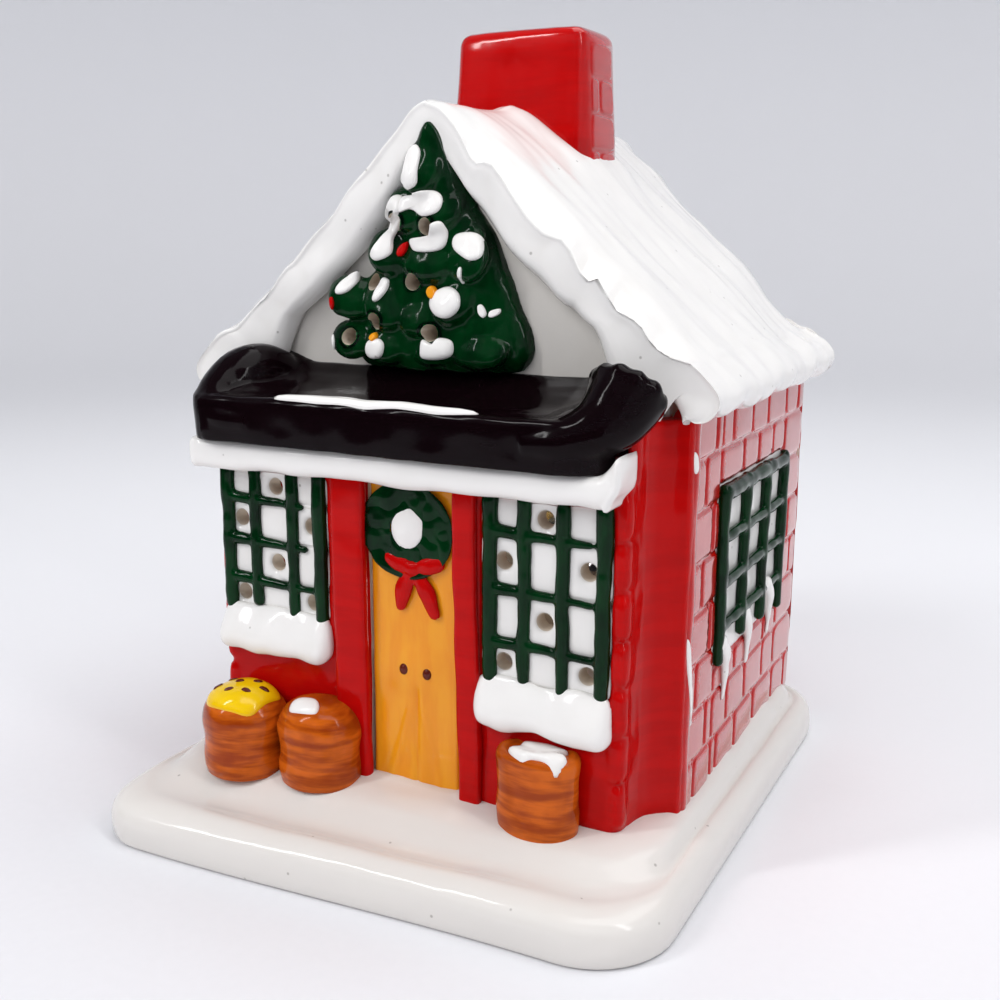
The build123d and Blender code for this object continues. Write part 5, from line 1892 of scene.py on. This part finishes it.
# Yellow straw on the outer basket and snow on the others, from each basket's middle: (across, depth)
STRAW = [
    (-6.9, -1.6), (-5.6, -5.0), (-2.6, -7.0), (1.6, -7.2), (5.6, -5.4), (6.6, -1.0), (6.4, 3.4), (3.2, 5.8),
    (-2.6, 6.0), (-6.2, 3.0),
]
STRAW_SEEDS = [
    (-4.6, -2.2, 60), (-4.2, 2.0, 20), (-1.0, -3.4, 40), (-1.4, 0.6, 30), (2.4, -2.4, 10), (1.8, 2.4, 50),
    (4.6, 0.6, 30),
]
INNER_SNOW = [(-3.4, -5.6), (-0.4, -6.2), (2.4, -5.4), (2.2, -3.4), (0.4, -1.6), (-2.6, -1.8), (-4.2, -3.4)]
RIGHT_SNOW = [
    (-4.6, -3.6), (-3.4, -6.0), (-0.6, -7.6), (1.6, -6.0), (5.0, -6.2), (6.4, -3.2), (4.4, -0.4),
    (5.0, 2.4), (0.6, 4.2), (-3.4, 2.8), (-3.6, -0.8),
]


def make_baskets():
    """Three baskets by the door, one heaped with seeded yellow straw and two with snow on their tops."""

    def over(name, outline):
        low, high = box_mm(name)
        press = BASKET_PRESS[name]
        return [
            ((low.x + high.x) / 2 + x, BAY_Y + (low.y + BASKET_MIDDLE + y - BAY_Y) * press, *rest)
            for x, y, *rest in outline
        ]

    outer = make_basket("outer_basket", DOMED_BASKET, 1.0)
    inner = make_basket("inner_basket", DOMED_BASKET, 2.0)
    right = make_basket("right_basket", DRUM_BASKET, 3.0)
    straw = over("outer_basket", STRAW)
    seeds = over("outer_basket", STRAW_SEEDS)
    heap("outer_basket_fill", outer, straw, 0.9, [straw_glaze(), knob_glaze()], seeds)
    heap("inner_basket_snow", inner, over("inner_basket", INNER_SNOW), 0.7, [snow_glaze()])
    heap("right_basket_snow", right, over("right_basket", RIGHT_SNOW), 1.4, [snow_glaze()])


# CAD nodes that stay, with their own finishes


def speckled(name, body, dark, scale, rough, metallic=0.0, stretch=None):
    """Plain finish with grain: moulded plastic, or metal brushed along one direction."""
    if name in bpy.data.materials:
        return bpy.data.materials[name]
    material, tree, shader, place = bare_material(name)
    if stretch:
        grain = place_group(tree, brush_marks(), Vector=place, Stretch=stretch).outputs["Streak"]
    else:
        grain = new_node(tree, "ShaderNodeTexNoise", vector=place, scale=scale, detail=4.0).outputs[0]
    tree.links.new(blend(tree, grain, paint(body), paint(dark)), shader.inputs["Base Color"])
    vary_roughness(tree, shader, grain, rough * 0.7, rough * 1.3)
    add_bump(tree, shader, grain, 0.2, 0.0001)
    shader.inputs["Metallic"].default_value = metallic
    return material


def bulb_glass():
    """Thin clear glass of the bulb, faintly uneven."""
    material, tree, shader, place = bare_material("blown_glass")
    wave = new_node(tree, "ShaderNodeTexNoise", vector=place, scale=160.0, detail=1.0).outputs[0]
    add_bump(tree, shader, wave, 0.1, 0.0002)
    tint = blend(tree, wave, paint((0.96, 0.97, 0.97)), paint((0.9, 0.93, 0.93)))
    tree.links.new(tint, shader.inputs["Base Color"])
    shader.inputs["Transmission Weight"].default_value = 1.0
    shader.inputs["Roughness"].default_value = 0.03
    shader.inputs["IOR"].default_value = 1.5
    return material


def finish_cad(node, material):
    """Gives a CAD node that stays its finish."""
    piece = frame["nodes"][node]
    piece.data.materials.clear()
    piece.data.materials.append(material)


GABLE_LINE = 84.0
GABLE_HALF = 47.6


def gable_glaze():
    """Front wall glaze, white over the awning and red under it, with a wavering line between; the white
    carries painted shade.
    """
    tone = colours()
    material, tree, shader, place = bare_material("fired_gable")
    # Painted shade: the white is the snow glaze greyed and pooled, standing in for the shade in the gable's
    # recess under the rake.
    white = glaze_colour(tree, place, 0.42, srgb(214, 210, 204), srgb(196, 190, 182), tone.snow, cloud=0.6)
    red = glaze_colour(tree, place, 0.5, tone.red, tone.red_pool, tone.red_thin, cloud=0.7)
    split = new_node(tree, "ShaderNodeSeparateXYZ", Vector=place)
    up = split.outputs["Z"]
    sway = new_node(tree, "ShaderNodeTexNoise", vector=place, scale=130.0, detail=1.0).outputs[0]
    line = maths(tree, "ADD", up, maths(tree, "MULTIPLY", sway, 2.0 * MM))
    over = ramp(tree, line, GABLE_LINE * MM, (GABLE_LINE + 1.0) * MM)
    across = maths(tree, "ABSOLUTE", split.outputs["X"])
    middle = maths(tree, "SUBTRACT", 1.0, ramp(tree, across, GABLE_HALF * MM, (GABLE_HALF + 0.6) * MM))
    glazed = blend(tree, maths(tree, "MULTIPLY", over, middle), red, white)
    inside = ramp(tree, split.outputs["Y"], (FRONT_Y + 1.2) * MM, (FRONT_Y + 1.6) * MM)
    tree.links.new(blend(tree, inside, glazed, paint(tone.clay)), shader.inputs["Base Color"])
    glaze_gloss(tree, shader, place)
    return material


def make_gable():
    """Glaze on the front gable wall, which keeps its CAD shape."""
    finish_cad("front_wall", gable_glaze())


def make_lamp():
    """Finishes of the clip-in lamp, which keeps its CAD shapes."""
    plastic = speckled("moulded_plastic", srgb(232, 228, 216), srgb(222, 217, 203), 700.0, 0.35)
    steel = speckled(
        "spring_steel", srgb(186, 186, 190), srgb(150, 150, 156), 0, 0.32, 1.0, (3000.0, 200.0, 200.0)
    )
    brass = speckled(
        "drawn_brass", srgb(214, 174, 92), srgb(178, 134, 60), 0, 0.3, 1.0, (300.0, 2600.0, 300.0)
    )
    wire = speckled(
        "tungsten_wire", srgb(120, 116, 112), srgb(86, 84, 82), 0, 0.4, 1.0, (4000.0, 500.0, 500.0)
    )
    glass = bulb_glass()
    finish_cad("lamp_holder", plastic)
    finish_cad("holder_clip", steel)
    for node in ("screw_shell", "centre_contact", "bulb_cap"):
        finish_cad(node, brass)
    for node in ("bulb_glass", "bulb_stem"):
        finish_cad(node, glass)
    finish_cad("bulb_filament", wire)


# Stage

# Section of the paper floor from its middle to the top of the backdrop: (radius, height)
PAPER_PROFILE = [
    (0.0, 0.0), (0.2, 0.0), (0.34, 0.0), (0.72, 0.0), (0.9, 0.03), (1.03, 0.13), (1.1, 0.3), (1.12, 0.6),
    (1.12, 1.3),
]
# Name, place, target, size in metres and power in watts of each softbox
SOFTBOXES = [
    ("top_softbox", (0.2, 0.08, 0.85), (0.0, 0.0, 0.05), (0.8, 0.8), 4.95),
    ("front_softbox", (-0.1, -0.75, 0.62), (0.0, 0.0, 0.09), (0.6, 0.4), 2.0),
    ("backdrop_wash", (0.0, 0.4, 1.1), (0.0, 1.1, 0.25), (1.0, 0.3), 0.7),
    ("right_strip", (0.6, -0.2, 0.55), (0.0, 0.0, 0.07), (0.06, 0.45), 1.05),
    ("left_strip", (-0.4, -0.5, 0.6), (0.0, 0.0, 0.09), (0.06, 0.45), 1.9),
    ("inner_glow", (0.0, 0.012, 0.03), (0.0, 0.0, 0.2), (0.05, 0.04), 0.03),
]
UNMIRRORED = ("front_softbox", "backdrop_wash")
CAMERA_PLACE = (0.109361, -0.210167, 0.112450)
CAMERA_RIGHT = (0.88650554, 0.46270913, 0.00286091)
CAMERA_UP = (-0.1028452, 0.19100565, 0.97618631)
CAMERA_FORWARD = (-0.45114386, 0.8656888, -0.21691498)
CAMERA_LENS = 42.0685


def floor_material():
    """Pale matt paper with a faint tooth, with painted shade: greyer towards the top of the backdrop and
    darker in front than behind.
    """
    material, tree, shader, place = bare_material("studio_paper")
    split = new_node(tree, "ShaderNodeSeparateXYZ", Vector=place)
    # Painted shade: the paper is one colour, but it is greyed up the backdrop where less light reaches.
    up = ramp(tree, split.outputs["Z"], 0.1, 0.8)
    # Painted shade: the paper in front, where the softboxes light it most, is darker than the paper behind.
    far = ramp(tree, split.outputs["Y"], -0.16, 0.2)
    tooth = new_node(tree, "ShaderNodeTexNoise", vector=place, scale=500.0, detail=3.0).outputs[0]
    pale = blend(tree, tooth, paint(colours().floor), paint(srgb(224, 224, 228)))
    swept = blend(tree, far, pale, paint(srgb(242, 242, 245)))
    tree.links.new(blend(tree, up, swept, paint(srgb(216, 218, 223))), shader.inputs["Base Color"])
    shader.inputs["Roughness"].default_value = 0.75
    return material


def spun_sheet(name, profile, start, turn, steps):
    """Smooth sheet spun about the vertical axis from its profile, facing in and up; angles in degrees."""
    bm = bmesh.new()
    swing = Matrix.Rotation(math.radians(start), 4, "Z")
    places = [swing @ Vector((radius, 0, max(0.0, height))) for radius, height in smooth_run(profile, 5)]
    verts = [bm.verts.new(place) for place in places]
    edges = [bm.edges.new(pair) for pair in zip(verts, verts[1:])]
    bmesh.ops.spin(
        bm, geom=verts + edges, cent=(0, 0, 0), axis=(0, 0, 1), angle=math.radians(turn), steps=steps,
        use_merge=turn == 360,
    )
    bmesh.ops.remove_doubles(bm, verts=bm.verts, dist=0.00001)
    bmesh.ops.recalc_face_normals(bm, faces=bm.faces)
    if sum(face.normal.z for face in bm.faces) < 0:
        bmesh.ops.reverse_faces(bm, faces=bm.faces)
    sheet = clay_object(bm, name)
    sheet.data.polygons.foreach_set("use_smooth", [True] * len(sheet.data.polygons))
    return sheet


def add_softbox(name, place, target, size, power):
    """Softbox aimed at a point."""
    light = bpy.data.lights.new(name, "AREA")
    light.shape = "RECTANGLE"
    light.size, light.size_y = size
    light.energy = power
    box = bpy.data.objects.new(name, light)
    box.location = place
    box.rotation_euler = (Vector(target) - Vector(place)).to_track_quat("-Z", "Y").to_euler()
    box.visible_glossy = name not in UNMIRRORED
    bpy.context.scene.collection.objects.link(box)


def make_stage():
    """Paper floor that sweeps up all round, a dark card for mirrors only, softboxes, world and camera."""
    scene = bpy.context.scene
    floor = spun_sheet("studio_floor", PAPER_PROFILE, 0, 360, 96)
    floor.data.materials.append(floor_material())
    card = spun_sheet("dark_card", [(r, z + 0.004) for r, z in PAPER_PROFILE[2:]], -165, 120, 40)
    card.data.materials.append(speckled("card_black", srgb(30, 30, 32), srgb(38, 38, 40), 60.0, 0.8))
    card.visible_camera = False
    card.visible_shadow = False
    card.visible_diffuse = False
    for softbox in SOFTBOXES:
        add_softbox(*softbox)
    world = bpy.data.worlds.new("studio_world")
    world.use_nodes = True
    background = world.node_tree.nodes["Background"]
    background.inputs["Color"].default_value = paint((0.92, 0.94, 1.0))
    background.inputs["Strength"].default_value = 0.15
    scene.world = world
    camera = bpy.data.objects.new("camera", bpy.data.cameras.new("camera"))
    camera.data.lens = CAMERA_LENS
    camera.data.sensor_width = 36.0
    camera.data.clip_start = 0.01
    back = -Vector(CAMERA_FORWARD)
    axes = Matrix((Vector(CAMERA_RIGHT), Vector(CAMERA_UP), back)).transposed().to_4x4()
    camera.matrix_world = Matrix.Translation(CAMERA_PLACE) @ axes
    scene.collection.objects.link(camera)
    scene.camera = camera
    scene.view_settings.view_transform = "Standard"


# Operators


class VillageOperator:
    """Common part of the operators"""

    bl_options = {"REGISTER", "UNDO"}


class VILLAGE_OT_snow_base(VillageOperator, bpy.types.Operator):
    """Model the snow-covered base"""

    bl_idname = "village.snow_base"
    bl_label = "Snow base"

    def execute(self, context):
        make_snow_base()
        return {"FINISHED"}


class VILLAGE_OT_brick_walls(VillageOperator, bpy.types.Operator):
    """Model the brick side and back walls and glaze the front gable"""

    bl_idname = "village.brick_walls"
    bl_label = "Brick walls"

    def execute(self, context):
        make_side_wall(1)
        make_side_wall(-1)
        make_back_wall()
        make_gable()
        return {"FINISHED"}


class VILLAGE_OT_snow_roof(VillageOperator, bpy.types.Operator):
    """Model the snow on the roof"""

    bl_idname = "village.snow_roof"
    bl_label = "Snow roof"

    def execute(self, context):
        make_snow_roof()
        return {"FINISHED"}


class VILLAGE_OT_chimney(VillageOperator, bpy.types.Operator):
    """Model the chimney"""

    bl_idname = "village.chimney"
    bl_label = "Chimney"

    def execute(self, context):
        make_chimney()
        return {"FINISHED"}


class VILLAGE_OT_porch(VillageOperator, bpy.types.Operator):
    """Model the front bay, its awning and the snow between them"""

    bl_idname = "village.porch"
    bl_label = "Porch"

    def execute(self, context):
        make_porch_bay()
        awning = make_porch_roof()
        make_porch_snow(awning)
        return {"FINISHED"}


class VILLAGE_OT_front_windows(VillageOperator, bpy.types.Operator):
    """Model the panes, bars and sill snow of the front windows"""

    bl_idname = "village.front_windows"
    bl_label = "Front windows"

    def execute(self, context):
        for side in (-1, 1):
            make_window_panes(side)
            make_window_lattice(side)
            make_window_snow(side)
        return {"FINISHED"}


class VILLAGE_OT_side_windows(VillageOperator, bpy.types.Operator):
    """Model the windows in the side walls"""

    bl_idname = "village.side_windows"
    bl_label = "Side windows"

    def execute(self, context):
        for side in (-1, 1):
            make_side_window(side)
        return {"FINISHED"}


class VILLAGE_OT_door(VillageOperator, bpy.types.Operator):
    """Model the door, its knobs and its posts"""

    bl_idname = "village.door"
    bl_label = "Door"

    def execute(self, context):
        make_door()
        make_door_knobs()
        for side in (-1, 1):
            make_door_jamb(side)
        return {"FINISHED"}


class VILLAGE_OT_wreath(VillageOperator, bpy.types.Operator):
    """Model the wreath and its bow"""

    bl_idname = "village.wreath"
    bl_label = "Wreath and bow"

    def execute(self, context):
        make_wreath()
        make_wreath_snow()
        make_bow()
        return {"FINISHED"}


class VILLAGE_OT_tree(VillageOperator, bpy.types.Operator):
    """Model the tree on the gable and its snow"""

    bl_idname = "village.tree"
    bl_label = "Gable tree"

    def execute(self, context):
        make_tree_snow(make_tree())
        return {"FINISHED"}


class VILLAGE_OT_baskets(VillageOperator, bpy.types.Operator):
    """Model the baskets by the door"""

    bl_idname = "village.baskets"
    bl_label = "Baskets"

    def execute(self, context):
        make_baskets()
        return {"FINISHED"}


class VILLAGE_OT_lamp(VillageOperator, bpy.types.Operator):
    """Give the clip-in lamp its finishes"""

    bl_idname = "village.lamp"
    bl_label = "Clip-in lamp"

    def execute(self, context):
        make_lamp()
        return {"FINISHED"}


class VILLAGE_OT_stage(VillageOperator, bpy.types.Operator):
    """Set up the floor, the lights and the camera"""

    bl_idname = "village.stage"
    bl_label = "Studio stage"

    def execute(self, context):
        make_stage()
        return {"FINISHED"}


STEPS = (
    VILLAGE_OT_snow_base,
    VILLAGE_OT_brick_walls,
    VILLAGE_OT_snow_roof,
    VILLAGE_OT_chimney,
    VILLAGE_OT_porch,
    VILLAGE_OT_front_windows,
    VILLAGE_OT_side_windows,
    VILLAGE_OT_door,
    VILLAGE_OT_wreath,
    VILLAGE_OT_tree,
    VILLAGE_OT_baskets,
    VILLAGE_OT_lamp,
    VILLAGE_OT_stage,
)


class VILLAGE_PT_panel(bpy.types.Panel):
    """Pieces, sizes and colours of the village house"""

    bl_label = "Ceramic village house"
    bl_idname = "VILLAGE_PT_panel"
    bl_space_type = "VIEW_3D"
    bl_region_type = "UI"
    bl_category = "Village"

    def draw(self, context):
        column = self.layout.column()
        for step in STEPS:
            column.operator(step.bl_idname)
        for group in (context.scene.village_sizes, context.scene.village_colours):
            box = self.layout.box()
            for name in group.__annotations__:
                box.prop(group, name)


CLASSES = (HouseSizes, GlazeColours, *STEPS, VILLAGE_PT_panel)


def register():
    for item in CLASSES:
        bpy.utils.register_class(item)
    bpy.types.Scene.village_sizes = bpy.props.PointerProperty(type=HouseSizes)
    bpy.types.Scene.village_colours = bpy.props.PointerProperty(type=GlazeColours)


def unregister():
    del bpy.types.Scene.village_colours
    del bpy.types.Scene.village_sizes
    for item in reversed(CLASSES):
        bpy.utils.unregister_class(item)


def main():
    register()
    for step in STEPS:
        group, name = step.bl_idname.split(".")
        getattr(getattr(bpy.ops, group), name)()


if __name__ == "__main__":
    main()
